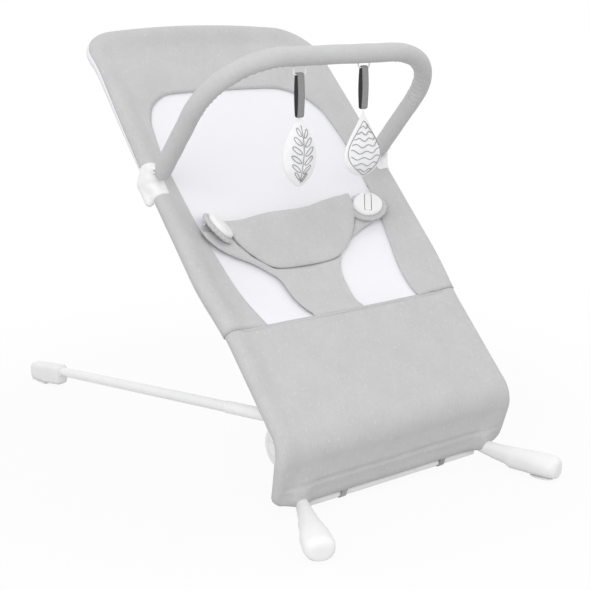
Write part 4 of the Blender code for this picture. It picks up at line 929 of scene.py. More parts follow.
@dataclass
class Sling:
    """The grey sling with its big window, the white mesh behind it, and the leg panel below."""

    hoop_dive: float = 0.0100
    hoop_pinch: float = 0.0022
    cloth: float = 0.0012
    rise_width: float = 0.0300
    rows_inner: int = 13
    rows_rise: int = 7
    rows_wrap: int = 12
    window: tuple = (
        (0.1305, 0.1520), (0.1324, 0.1750), (0.1380, 0.2100), (0.1445, 0.2480), (0.1496, 0.2800),
        (0.1555, 0.3100), (0.1580, 0.3450), (0.1606, 0.3840), (0.1614, 0.4220), (0.1596, 0.4640),
        (0.1540, 0.5070), (0.1482, 0.5250), (0.1360, 0.5470), (0.1140, 0.5665), (0.0910, 0.5765),
        (0.0455, 0.5820), (0.0, 0.5832),
    )
    window_corner: tuple[float, float] = (0.0950, 0.4900)
    back_seam_at: tuple = (0.32, 0.46, 0.64)
    back_seam_turns: tuple = (-40.0, 5.0, 30.0)
    back_turn: float = math.radians(120.0)
    back_gap: float = 0.0011
    back_cloth: float = 0.0008
    back_insets: tuple = (0.012, 0.020, 0.030)
    back_clear: float = 0.0035
    back_slope: float = 0.25
    upper_ripple: tuple = (16.0, 0.0011)
    mesh_gap: float = 0.0016
    mesh_cloth: float = 0.0007
    mesh_past_seam: float = 0.004
    mesh_top_inset: float = 0.030
    mesh_side_inset: float = 0.018
    mesh_narrows: tuple[float, float] = (0.620, 0.045)
    mesh_narrowing: float = 0.10
    mesh_free: tuple[float, float] = (0.006, 0.030)
    mesh_ripple: tuple = (11.0, 0.0016, 5.0)
    rod_ahead: float = 0.0262
    rod_z: float = 0.0274
    rod_radius: float = 0.0034
    rod_half: float = 0.1902
    rod_corner: float = 0.0060
    rod_end: float = 0.1720
    hem_shift: float = -0.0028
    hem_turn_up: float = 0.0055
    hem_roll: float = 0.0062
    stem_x: float = 0.1580
    clip_x: float = 0.0860
    clip_half: float = 0.0047
    clip_thickness: float = 0.0008
    clip_gap: float = 0.0004
    clip_section: tuple = ((-1.0, 0.0), (-1.0, 1.0), (-0.8, 1.25), (0.8, 1.25), (1.0, 1.0), (1.0, 0.0))
    tunnel_top: float = 0.0500
    tunnel_groove: tuple[float, float] = (0.0016, 0.0022)
    stem_bulge: tuple[float, float] = (0.0062, 0.014)
    stem_shows: tuple[float, float] = (0.060, 0.022)
    hem_bulge: tuple[float, float] = (0.0012, 0.006)
    hem_bulge_over: float = 0.002
    turned_up_from: tuple[float, float] = (0.150, 0.050)
    leg_edge: float = 0.012
    leg_ripple: tuple = (14.0, 0.0010, 9.0)
    leg_turns: tuple = (72.0, 54.0, 36.0, 18.0, 0.0, -15.0, -32.0, -50.0, -70.0)
    leg_end_turn: float = 165.0
    seam_overlap: float = 0.002
    knee_dip: float = -0.0050
    dip_fade: float = 0.25
    dip_ends: float = 0.7
    stitch_end: float = 0.1760
    stitch_below: float = 0.0022
    stitch_lift: float = 0.0008

    def outlines(self) -> tuple[Array, Array, Array, Array]:
        """Match the window's outline to the hoop's, point for point.

        Returns:
            Window points and hoop points (x, u), from the left seam end over the top to the right one, and
            for each hoop point its outward direction and the turn at which the two cloths are sewn together.
        """
        mirrored = [(-x, u) for x, u in reversed(self.window[:-1])]
        edge = smooth_path([*self.window, *mirrored], 801)[:401]
        corner_x, corner_u = self.window_corner
        corner = int(np.argmax(edge[:, 1] >= corner_u))
        turned = int(np.argmax((edge[:, 0] <= corner_x) & (edge[:, 1] > corner_u)))
        whole = []
        for path, first, last in ((edge, corner, turned), (SEAT.hoop_half_path(SEAT.seam_at), 59, 82)):
            side, bend = resampled(path[: first + 1], 64), resampled(path[first: last + 1], 22)
            half = np.vstack([side[:-1], bend[:-1], resampled(path[last:], 30)])
            whole.append(np.vstack([half * np.array([-1.0, 1.0]), half[-2::-1]]))
        window, hoop = whole
        out = np.gradient(hoop, axis=0)
        out = unit(np.stack([-out[:, 1], out[:, 0]], -1))
        return window, hoop, out, np.radians(np.interp(hoop[:, 1], self.back_seam_at, self.back_seam_turns))

    def rise(self, start: Array, slope: Array, top: Array, share: float) -> Array:
        """Height of the cloth on its way from its start on the sling, with a slope there, to the top."""
        a, b = 2.0 * share**3 - 3.0 * share**2 + 1.0, share**3 - 2.0 * share**2 + share
        return a * start + b * slope * self.rise_width + (1.0 - a) * top

    @staticmethod
    def stacked(rows: list[tuple[Array, Array, Array]]) -> tuple[Array, Array]:
        """A grid's points and its places on the flat cloth, from rows of (x, u), height and flat place."""
        points = np.stack([SEAT.on_seat(*spot.T, high) for spot, high, _ in rows], 1)
        return points, np.stack([flat for _, _, flat in rows], 1)

    def upper(self) -> None:
        """Build the grey cloth round the window, from the seam over the head end and back."""
        window, hoop, out, seam = self.outlines()
        inner = hoop - out * self.rise_width
        rows = []
        for share in np.linspace(0.0, 1.0, self.rows_inner):
            spot = window + (inner - window) * share
            rows.append((spot, SEAT.height(*spot.T), spot))
        start, step = SEAT.height(*inner.T), 0.002
        slope = (start - SEAT.height(*(inner - out * step).T)) / step
        lifted = SEAT.hoop_rise(hoop[:, 1])
        for share in np.linspace(0.0, 1.0, self.rows_rise)[1:]:
            spot = inner + out * self.rise_width * share
            rows.append((spot, self.rise(start, slope, SEAT.roll + lifted, share), spot))
        for share in np.linspace(0.0, 1.0, self.rows_wrap)[1:]:
            turn = QUARTER + (seam - QUARTER) * share
            spot = hoop + out * (SEAT.roll * np.cos(turn))[:, None]
            flat = hoop + out * (SEAT.roll * (QUARTER - turn))[:, None]
            rows.append((spot, lifted + SEAT.roll * np.sin(turn), flat))
        grid, flat = self.stacked(rows)
        grid += SEAT.normal() * ripple(grid, *self.upper_ripple)[..., None] * self.calm(grid)[..., None]
        made = piece("sling_upper", grid, grid_faces(*grid.shape[:2]), flat)
        thicken(made, self.cloth)
        dress(made, Body.SEAT, Finishes.sling, "sling_panel", "sling_sleeve")

    @staticmethod
    def calm(grid: Array) -> Array:
        """How freely each column of a grid may ripple: not at all over the tube."""
        share = np.linspace(0.0, 1.0, grid.shape[1])
        return np.broadcast_to(smoothstep((0.62 - share) / 0.25) * smoothstep(share / 0.1), grid.shape[:2])

    def hoop(self) -> None:
        """Build the bent tube inside the cloth, from one knuckle over the head end to the other."""
        half = SEAT.hoop_half_path(0.0)
        down = 1.0 - smoothstep(half[:, 1] / 0.0500)
        high = SEAT.hoop_rise(half[:, 1]) - self.hoop_dive * down
        right = SEAT.on_seat(half[:, 0] - self.hoop_pinch * down, half[:, 1], high)
        left = right * np.array([-1.0, 1.0, 1.0])
        made = tube("hoop_tube", np.vstack([left, right[-2::-1]]), SEAT.hoop_radius, 24)
        dress(made, Body.SEAT, Finishes.enamel, "seat_hoop")

    def back_layer(self) -> None:
        """Build the white layer that is sewn to the grey cloth round the tube and closes behind it."""
        _, hoop, out, seam = self.outlines()
        roll = SEAT.roll + self.back_gap
        rows = []
        for share in np.linspace(0.0, 1.0, 14):
            turn = seam + (-self.back_turn - seam) * share
            spot = hoop + out * (roll * np.cos(turn))[:, None]
            high = SEAT.hoop_rise(hoop[:, 1]) + roll * np.sin(turn)
            rows.append((spot, high, hoop + out * (roll * -turn)[:, None]))
        for inset in self.back_insets:
            spot = hoop - out * inset
            hang = -roll * 0.9 + (inset - self.back_insets[0]) * self.back_slope
            low = np.minimum(SEAT.height(*spot.T) - self.back_clear, hang)
            rows.append((spot, low, hoop + out * (roll * self.back_turn + inset - 0.005)))
        grid, flat = self.stacked(rows)
        made = piece("sling_back_layer", grid, grid_faces(*grid.shape[:2]), flat)
        thicken(made, self.back_cloth)
        dress(made, Body.SEAT, Finishes.mesh)

    def mesh(self) -> None:
        """Build the white mesh behind the window."""
        first, last = SEAT.seam_at - self.mesh_past_seam, SEAT.hoop_length - self.mesh_top_inset
        u = np.linspace(first, last, 70)[:, None]
        x = np.linspace(-1.0, 1.0, 50)[None, :] * (SEAT.half_width(u) - self.mesh_side_inset)
        start, span = self.mesh_narrows
        x = x * (1.0 - self.mesh_narrowing * np.clip((u - start) / span, 0.0, 1.0) ** 2)
        across, up = np.array(self.window).T
        inside = np.interp(u, up, across, right=0.0) - np.abs(x)
        start, span = self.mesh_free
        free = smoothstep((inside - start) / span) * smoothstep((u - up[0]) / span)
        grid = SEAT.on_seat(x, u, SEAT.height(x, u) - self.mesh_gap)
        grid += SEAT.normal() * (ripple(grid, *self.mesh_ripple) * free)[..., None]
        made = piece("window_mesh", grid, grid_faces(*x.shape), places(x, u))
        thicken(made, self.mesh_cloth)
        dress(made, Body.SEAT, Finishes.mesh, "mesh_liner")

    def leg_profile(self) -> Array:
        """Follow the leg panel's front from the seam over the knee to the hem.

        Returns:
            Rows of a point's y and z, its outward normal's y and z, the roll radius and half width of its
            edges, and how far the middle lies over them.
        """
        rows = []
        cos, sin = math.cos(SEAT.recline), math.sin(SEAT.recline)
        reach = SEAT.knee + SEAT.knee_rise + SEAT.roll
        for u in np.linspace(SEAT.seam_at + self.seam_overlap, 0.0, 30):
            z = SEAT.knee + float(SEAT.hoop_rise(u)) + SEAT.roll
            spot = (SEAT.pivot_y + u * cos - z * sin, SEAT.pivot_z + u * sin + z * cos)
            near = float(smoothstep(u / SEAT.seam_at))
            dip = self.knee_dip * (1.0 - near) + (SEAT.edge_lift + 0.0004 - SEAT.knee_rise - SEAT.roll) * near
            rows.append((*spot, -sin, cos, SEAT.roll, float(SEAT.half_width(u)), dip))
        y, z = -self.rod_ahead, self.rod_z - SEAT.pivot_z
        lean = math.asin((reach - self.hem_roll) / math.hypot(y, z)) - math.atan2(-y, -z)
        leave = QUARTER - SEAT.recline + lean
        for share in np.linspace(0.0, 1.0, 18)[1:]:
            turned = QUARTER + SEAT.recline + leave * share
            way = (math.cos(turned), math.sin(turned))
            spot = (SEAT.pivot_y + reach * way[0], SEAT.pivot_z + reach * way[1])
            half = SEAT.hoop_knee_half + (self.rod_half - SEAT.hoop_knee_half) * share
            rows.append((*spot, *way, SEAT.roll, half, self.knee_dip * (1.0 - self.dip_fade * share)))
        top, way = np.array(rows[-1][:2]), np.array(rows[-1][2:4])
        bottom = np.array([SEAT.pivot_y + y, SEAT.pivot_z + z]) + way * self.hem_roll
        for share in np.linspace(0.0, 1.0, 24)[1:]:
            spot = top + (bottom - top) * share
            over = np.clip((self.rod_z + self.rod_corner - spot[1]) / self.rod_corner, 0.0, 1.0)
            half = self.rod_half - self.rod_corner * (1.0 - math.sqrt(max(1.0 - over * over, 0.0)))
            dip = self.knee_dip * (1.0 - self.dip_fade) * (1.0 - float(smoothstep(share / self.dip_ends)))
            rows.append((*spot, *way, SEAT.roll + (self.hem_roll - SEAT.roll) * share, half, dip))
        return np.array(rows)

    def leg_grid(self, profile: Array) -> tuple[Array, Array, Array]:
        """Lay the leg panel's front.

        Args:
            profile: The rows of leg_profile.

        Returns:
            The grid's points, its outward normals and its places on the flat cloth.
        """
        y, level, normal_y, normal_z, _, halves, dips = profile.T[:, :, None]
        x = np.linspace(-1.0, 1.0, 73)[None, :] * halves
        inside = halves - np.abs(x)
        near_edge, free = smoothstep(inside / self.leg_edge), smoothstep(inside / self.rise_width)
        lift = dips * free
        (size, width), (top, span) = self.stem_bulge, self.stem_shows
        lift = lift + size * hill(np.abs(x) - self.stem_x, width) * smoothstep((top - level) / span)
        size, width = self.tunnel_groove
        lift = lift - size * hill(level - self.tunnel_top, width) * near_edge
        size, width = self.hem_bulge
        lift = lift + size * hill(level - self.rod_z - self.hem_bulge_over, width) * near_edge
        points, normals = places(x, y, level), places(np.zeros_like(x), normal_y, normal_z)
        lift = lift + ripple(points, *self.leg_ripple) * free
        grid = points + normals * lift[..., None]
        hang = smoothstep((SEAT.pivot_z - level) / (SEAT.pivot_z - self.rod_z))
        below = smoothstep((self.tunnel_top - level) / (self.tunnel_top - self.rod_z))
        grid[..., 0] += self.hem_shift * hang
        start, span = self.turned_up_from
        grid[..., 2] += self.hem_turn_up * smoothstep((np.abs(x) - start) / span) * below
        return grid, normals, places(x, SEAT.seam_at - lengths(profile[:, :2])[:, None])

    def leg_panel(self) -> Object:
        """Build the plain panel from the seam over the knee down to the hem, rolled back at its edges.

        Returns:
            The panel.
        """
        profile = self.leg_profile()
        grid, normals, flat = self.leg_grid(profile)
        rows, columns = flat.shape[:2]
        rim = [(r, 0) for r in range(rows)] + [(rows - 1, c) for c in range(1, columns - 1)]
        rim += [(r, columns - 1) for r in reversed(range(rows))]
        edge, face_way, rim_flat = (np.array([part[spot] for spot in rim]) for part in (grid, normals, flat))
        outward = unit(np.cross(unit(np.gradient(edge, axis=0)), face_way))
        roll = np.array([profile[r, 4] for r, _ in rim])[:, None]
        centre = edge - face_way * roll
        rings = []
        for turn in np.radians(self.leg_turns):
            ring = centre + outward * roll * math.cos(turn) + face_way * roll * math.sin(turn)
            rings.append((ring, roll * (QUARTER - turn)))
        tucked = centre - face_way * roll * 1.02 - outward * 0.001
        rings.append((tucked, roll * math.radians(self.leg_end_turn)))
        faces = grid_faces(rows, columns)
        points, cloth = [grid.reshape(-1, 3)], [flat.reshape(-1, 2)]
        before = np.array([r * columns + c for r, c in rim])
        for number, (ring, step) in enumerate(rings):
            here = np.arange(len(rim)) + rows * columns + number * len(rim)
            faces += zip(before, here, here[1:], before[1:])
            points.append(ring)
            cloth.append(rim_flat + outward[:, [0, 2]] * step)
            before = here
        made = piece("leg_panel", np.vstack(points), faces, np.vstack(cloth))
        self.face_outward(made, Vector((0.0, -1.0, 0.3)))
        thicken(made, self.cloth)
        dress(made, Body.SEAT, Finishes.sling, "leg_flap")
        rests_on, area = ["hem_rod_tube", "hoop_tube"], min(one_side(made), 0.420 * 0.290)
        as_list(rests_on)
        return made

    @staticmethod
    def face_outward(made: Object, way: Vector) -> None:
        """Turn all faces of a sheet the same way, so that most of it faces a direction."""
        edit = bmesh.new()
        edit.from_mesh(made.data)
        bmesh.ops.recalc_face_normals(edit, faces=edit.faces)
        total = sum((face.normal * face.calc_area() for face in edit.faces), Vector())
        if total.dot(way) < 0.0:
            bmesh.ops.reverse_faces(edit, faces=edit.faces)
        edit.to_mesh(made.data)
        edit.free()

    def rod(self) -> None:
        """Build the rod in the hem, and the steel clips that tie it to the crossbar."""
        y = SEAT.pivot_y - self.rod_ahead
        path = places(np.linspace(-self.rod_end, self.rod_end, 9) + self.hem_shift * 0.5, y, self.rod_z)
        made = tube("hem_rod_tube", path, self.rod_radius, 24)
        dress(made, Body.BASE, Finishes.steel, "hem_rod")
        bar = np.array([SEAT.pivot_y - Base.crossbar_ahead, Base.crossbar_z])
        rod = np.array([y, self.rod_z])
        away = unit(bar - rod)
        side = np.array([-away[1], away[0]])
        outer, inner = Base.crossbar_radius + self.clip_gap, self.rod_radius + self.clip_gap
        turns = np.linspace(-QUARTER, QUARTER, 12)
        loop = [bar + outer * (away * math.cos(t) + side * math.sin(t)) for t in turns]
        loop += [rod + inner * (-away * math.cos(t) - side * math.sin(t)) for t in turns]
        out = unit(np.roll(loop, -1, 0) - np.roll(loop, 1, 0))
        out = np.stack([out[:, 1], -out[:, 0]], -1)
        loop, out = np.vstack([loop, loop[:1]]), np.vstack([out, out[:1]])
        for hand in Side:
            rings = []
            for across, lift in self.clip_section:
                spot = loop + out * lift * self.clip_thickness
                rings.append(places(hand.value * self.clip_x + across * self.clip_half, *spot.T))
            points = np.stack(rings, 1)
            made = piece(f"hem_clip_strip_{hand.label}", points, grid_faces(*points.shape[:2], 0, True))
            dress(made, Body.BASE, Finishes.dark_steel, f"hem_clip_{hand.label}")

    @staticmethod
    def bend(made: Object) -> None:
        """Take a piece off its body and bake its place into its mesh, in the part's frame."""
        reach = SEAT.knee + SEAT.knee_lift
        pivot = np.array([0.0, SEAT.pivot_y, SEAT.pivot_z])
        start, end = pivot + SEAT.normal() * reach, pivot + np.array([0.0, -reach, 0.0])
        made.parent = None
        tuple(start)
        tuple(end)
        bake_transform(made)

    def seam(self) -> None:
        """Sew the seam under the window."""
        x = np.linspace(-self.stitch_end, self.stitch_end, 90)
        u = np.full_like(x, SEAT.seam_at - self.stitch_below)
        rim, inside = SEAT.roll + SEAT.hoop_rise(u), SEAT.half_width(u) - np.abs(x)
        top = rim + (SEAT.edge(u) + self.stitch_lift - rim) * smoothstep(inside / self.rise_width)
        path = SEAT.on_seat(x, u, top)
        made = stitches("seam_stitches", path, np.broadcast_to(SEAT.normal(), path.shape))
        dress(made, Body.SEAT, Finishes.thread)

    def build(self) -> None:
        """Build all the sling's pieces."""
        self.hoop()
        self.rod()
        self.upper()
        self.back_layer()
        self.mesh()
        leg = self.leg_panel()
        self.seam()
        self.bend(leg)


# The waist belt


@dataclass
class WaistBelt:
    """The padded waist band, the crotch strap under it, and the two round buckles."""

    crotch_left: tuple = (
        (0.1441, 0.0531), (0.1893, 0.0532), (0.2296, 0.0530), (0.2430, 0.0600), (0.2649, 0.0882),
        (0.2845, 0.1328), (0.3000, 0.1530), (0.3120, 0.1590), (0.3250, 0.1540), (0.3360, 0.1300),
    )
    crotch_right: tuple = (
        (0.1432, 0.0361), (0.1643, 0.0310), (0.2011, 0.0434), (0.2444, 0.0558), (0.2740, 0.0808),
        (0.2878, 0.1077), (0.2980, 0.1370), (0.3120, 0.1520), (0.3250, 0.1500), (0.3360, 0.1300),
    )
    crotch_thickness: float = 0.0070
    crotch_rim: float = 0.0012
    crotch_round: float = 0.0100
    under_drop: float = 0.0028
    tuck_drop: float = 0.0047
    tuck_at: float = 0.1590
    tuck_length: float = 0.0075
    under_from: tuple[float, float] = (0.006, 0.008)
    under_thins: float = 0.75
    tuck_thins: float = 0.72
    crotch_ripple: tuple = (26.0, 0.0014, 3.0)
    band_low: tuple = ((0.0, 0.2530), (0.0550, 0.2560), (0.0870, 0.2780), (0.1020, 0.2970), (0.1120, 0.3160))
    band_top: float = 0.3390
    band_half: float = 0.1120
    band_thickness: float = 0.0080
    band_rim: float = 0.0014
    band_round: float = 0.0130
    band_lift: float = 0.0024
    band_shift: float = 0.0060
    band_bow: float = 0.0015
    left_droop: float = 0.0065
    left_droop_from: tuple[float, float] = (0.030, 0.060)
    right_rise: float = 0.0125
    right_rise_from: tuple[float, float] = (0.015, 0.090)
    band_ripple: tuple = (30.0, 0.0012, 7.0)
    lift: float = 0.0034
    top_lift: float = 0.0240
    end_lift: float = 0.0092
    flare_at: float = 0.2500
    belt_top: float = 0.3380
    tab_inner_x: float = 0.1050
    tab_low: float = 0.0066
    tab_clear: float = 0.0010
    tab_squeeze: float = 0.4
    tab_gathers: float = 19.0
    tab_gather_size: float = 0.0006
    tab_gather_from: tuple[float, float] = (0.0200, 0.0080)
    tab_oval: float = 0.0008
    tab_profile: tuple = (
        (0.0002, 0.0066), (0.0150, 0.0066), (0.0235, 0.0069), (0.0272, 0.0078), (0.0289, 0.0092),
        (0.0292, 0.0105), (0.0284, 0.0120), (0.0268, 0.0131), (0.0246, 0.0137), (0.0220, 0.0136),
        (0.0150, 0.0133), (0.0002, 0.0133),
    )
    buckle_x: float = 0.1340
    buckle_u: float = 0.3214
    buckle_tip: float = math.radians(11.0)
    buckle_rest: float = 0.0130
    buckle_radius: float = 0.0224
    buckle_top: float = 0.0206
    buckle_foot: tuple = ((0.0022, 0.0), (0.0008, 0.0006), (0.0, 0.0024))
    buckle_dome: float = 0.0007
    slot_corner: float = 0.0016
    bar_corner: float = 0.0014
    buckle_rim: tuple = ((0.0004, 0.0026), (0.0016, 0.0010), (0.0034, 0.0001))
    buckle_turn: float = math.radians(-27.0)
    right_shift: float = 0.0040
    left_twist: float = math.radians(20.0)
    slot_half: tuple[float, float] = (0.0056, 0.0172)
    slot_span: tuple[float, float] = (0.0139, 0.0250)
    bar_gap: float = 0.0009
    bar_span: tuple[float, float] = (0.0176, 0.0213)

    def height(self, x: Array, u: Array) -> Array:
        """Height of the belt's middle surface over the hoop's plane."""
        ease = smoothstep((np.asarray(u) - self.flare_at) / (self.belt_top - self.flare_at))
        across = np.minimum((np.asarray(x) / self.tab_inner_x) ** 2, 1.0)
        top = self.top_lift * (1.0 - across) + self.end_lift * across
        return SEAT.height(x, u) + self.lift + (top - self.lift) * ease

    @staticmethod
    def pad(name: str, middle: Array, thick: Array, flat: Array) -> Object:
        """Close a padded piece round its middle surface and smooth it.

        Args:
            name: The piece's name.
            middle: The middle surface's grid of points.
            thick: The thickness at each of them.
            flat: Each point's place on the flat cloth.

        Returns:
            The padded piece.
        """
        rows, columns = middle.shape[:2]
        off = SEAT.normal() * (thick / 2.0)[..., None]
        points = np.vstack([(middle + off).reshape(-1, 3), (middle - off).reshape(-1, 3)])
        count = rows * columns
        front = grid_faces(rows, columns)
        faces = front + [tuple(count + i for i in reversed(face)) for face in front]
        rim = list(range(columns)) + [r * columns + columns - 1 for r in range(1, rows)]
        rim += [(rows - 1) * columns + c for c in reversed(range(columns - 1))]
        rim += [r * columns for r in reversed(range(1, rows - 1))]
        faces += [(b, a, count + a, count + b) for a, b in zip(rim, rim[1:] + rim[:1])]
        return refine(piece(name, points, faces, np.vstack([flat.reshape(-1, 2)] * 2)))

    def crotch_strap(self) -> None:
        """Build the strap that rises from the seam, its foot tucked in there, and flares to the buckles."""
        u = np.concatenate([np.linspace(0.1450, 0.2600, 30), np.linspace(0.2600, 0.3360, 40)[1:]])
        edges = (smooth_path(knots, 400) for knots in (self.crotch_left, self.crotch_right))
        left, right = (np.interp(u, *edge.T)[:, None] for edge in edges)
        a = np.sin(np.linspace(-QUARTER, QUARTER, 49)) * 0.35 + np.linspace(-1.0, 1.0, 49) * 0.65
        x = (right - left) / 2.0 + a[None, :] * (right + left) / 2.0
        u = np.broadcast_to(u[:, None], x.shape)
        full = round_edge(np.minimum(x + left, right - x) / self.crotch_round)
        start, span = self.under_from
        under = smoothstep((u - np.interp(np.abs(x), *np.array(self.band_low).T) + start) / span)
        tuck = smoothstep((self.tuck_at - u) / self.tuck_length)
        grid = SEAT.on_seat(x, u, self.height(x, u) - (self.under_drop * under + self.tuck_drop * tuck))
        thick = (self.crotch_thickness - self.crotch_rim) * full * (1.0 - self.under_thins * under)
        uneven = ripple(grid, *self.crotch_ripple) * full * (1.0 - under)
        thick = (self.crotch_rim + thick + uneven) * (1.0 - self.tuck_thins * tuck)
        made = self.pad("crotch_strap", grid, thick, places(x, u))
        dress(made, Body.SEAT, Finishes.belt)

    def waist_band(self) -> None:
        """Build the padded band between the buckles, over the strap."""
        x = np.linspace(-self.band_half, self.band_half + self.band_shift, 61)[None, :]
        low = smooth_path([(-k, v) for k, v in reversed(self.band_low[1:])] + list(self.band_low), 300)
        low_u = np.interp(x, *low.T)
        top_u = self.band_top + self.band_bow * np.abs(x / self.band_half) ** 2
        start, span = self.left_droop_from
        top_u = top_u - self.left_droop * smoothstep((-x - start) / span)
        start, span = self.right_rise_from
        top_u = top_u + self.right_rise * smoothstep((x - start) / span)
        b = np.linspace(0.0, 1.0, 27)[:, None]
        u = low_u + (top_u - low_u) * b
        x = np.broadcast_to(x, u.shape)
        middle = self.band_shift / 2.0
        end = (self.band_half - np.abs(x - middle) + middle) * 1.2
        full = round_edge(np.minimum(np.minimum(b, 1.0 - b) * (top_u - low_u), end) / self.band_round)
        grid = SEAT.on_seat(x, u, self.height(x, u) + self.band_lift)
        thick = self.band_rim + (self.band_thickness - self.band_rim) * full
        thick = thick + ripple(grid, *self.band_ripple) * full
        made = self.pad("waist_band", grid, thick, places(x, u))
        dress(made, Body.SEAT, Finishes.belt, "waist_belt")

    def buckle_place(self, side: Side) -> Callable:
        """Give the frame of one buckle.

        Args:
            side: The buckle's side.

        Returns:
            A function from x, y and height in the buckle's frame to the part's frame.
        """
        inner = float(SEAT.half_width(self.buckle_u)) - SEAT.sleeve
        slope = math.atan(2.0 * float(SEAT.sag(self.buckle_u)) * self.buckle_x / inner**2) * -side.value
        slope += self.left_twist if side is Side.LEFT else 0.0
        spot_x = side.value * self.buckle_x + (0.0 if side is Side.LEFT else self.right_shift)
        spot_h = float(SEAT.height(np.array(spot_x), np.array(self.buckle_u)))
        cos, sin = math.cos(slope), math.sin(slope)
        tip_cos, tip_sin = math.cos(self.buckle_tip), math.sin(self.buckle_tip)

        def place(x: Array, y: Array, z: Array) -> Array:
            """Place points of the buckle's frame, never under the cloth."""
            x, y, z = np.broadcast_arrays(x, y, z)
            over = z - self.buckle_rest
            least = self.tab_clear + self.tab_squeeze * (z - self.tab_low)
            y, z = y * tip_cos + over * tip_sin, self.buckle_rest + over * tip_cos - y * tip_sin
            across, up, high = spot_x + x * cos + z * sin, self.buckle_u + y, spot_h - x * sin + z * cos
            return SEAT.on_seat(across, up, np.maximum(high, SEAT.height(across, up) + least))

        return place

    def tab(self, side: Side) -> None:
        """Build the round padded cloth tab, gathered at its rim, that a buckle sits on."""
        place = self.buckle_place(side)
        turns = circle(120)
        phase = 0.7 if side is Side.LEFT else 2.1
        start, span = self.tab_gather_from
        wave = np.sin(turns * self.tab_gathers + phase + 1.3 * np.sin(turns * 3.0 + phase))
        rings = []
        for radius, z in self.tab_profile:
            crest = float(smoothstep((radius - start) / span))
            gather = wave * self.tab_gather_size * crest
            size = radius + gather * 0.7 + np.sin(turns * 2.0 + phase) * self.tab_oval * crest
            rings.append(place(size * np.cos(turns), size * np.sin(turns), z + gather))
        made = refine(loft(f"buckle_ring_{side.label}", np.array(rings)))
        dress(made, Body.SEAT, Finishes.belt, f"belt_tab_{side.label}")

    def buckle(self, side: Side) -> None:
        """Build a round buckle with its rim, and the press bar in its slot."""
        place = self.buckle_place(side)
        cos, sin = math.cos(self.buckle_turn), math.sin(self.buckle_turn)

        def spun(x: Array, y: Array, z: Array) -> Array:
            """Place points turned in the buckle's plane."""
            return place(x * cos - y * sin, x * sin + y * cos, z)

        radius, low, high = self.buckle_radius, self.buckle_rest, self.buckle_top
        rim = [(0.0002, low), *((radius - inset, low + rise) for inset, rise in self.buckle_foot)]
        rim += [(radius - inset, high - drop) for inset, drop in self.buckle_rim]
        rim += [(radius * k, high + self.buckle_dome * (1.0 - k * k)) for k in (0.75, 0.55, 0.35, 0.18, 0.01)]
        turns = circle(72)
        rings = np.array([spun(r * np.cos(turns), r * np.sin(turns), np.full(72, z)) for r, z in rim])
        disc = loft(f"buckle_disc_{side.label}", rings)
        cut(disc, rounded_box("slot_cut", spun, self.slot_half, self.slot_span, self.slot_corner))
        dress(disc, Body.SEAT, Finishes.plastic, f"buckle_{side.label}")
        half = tuple(size - self.bar_gap for size in self.slot_half)
        bar = rounded_box(f"press_bar_{side.label}", spun, half, self.bar_span, self.bar_corner)
        dress(bar, f"buckle_button_{side.label}", Finishes.plastic, f"buckle_button_{side.label}")

    def build(self) -> None:
        """Build the belt and its buckles."""
        self.crotch_strap()
        self.waist_band()
        for side in Side:
            self.tab(side)
            self.buckle(side)


# The toy bar and its toys


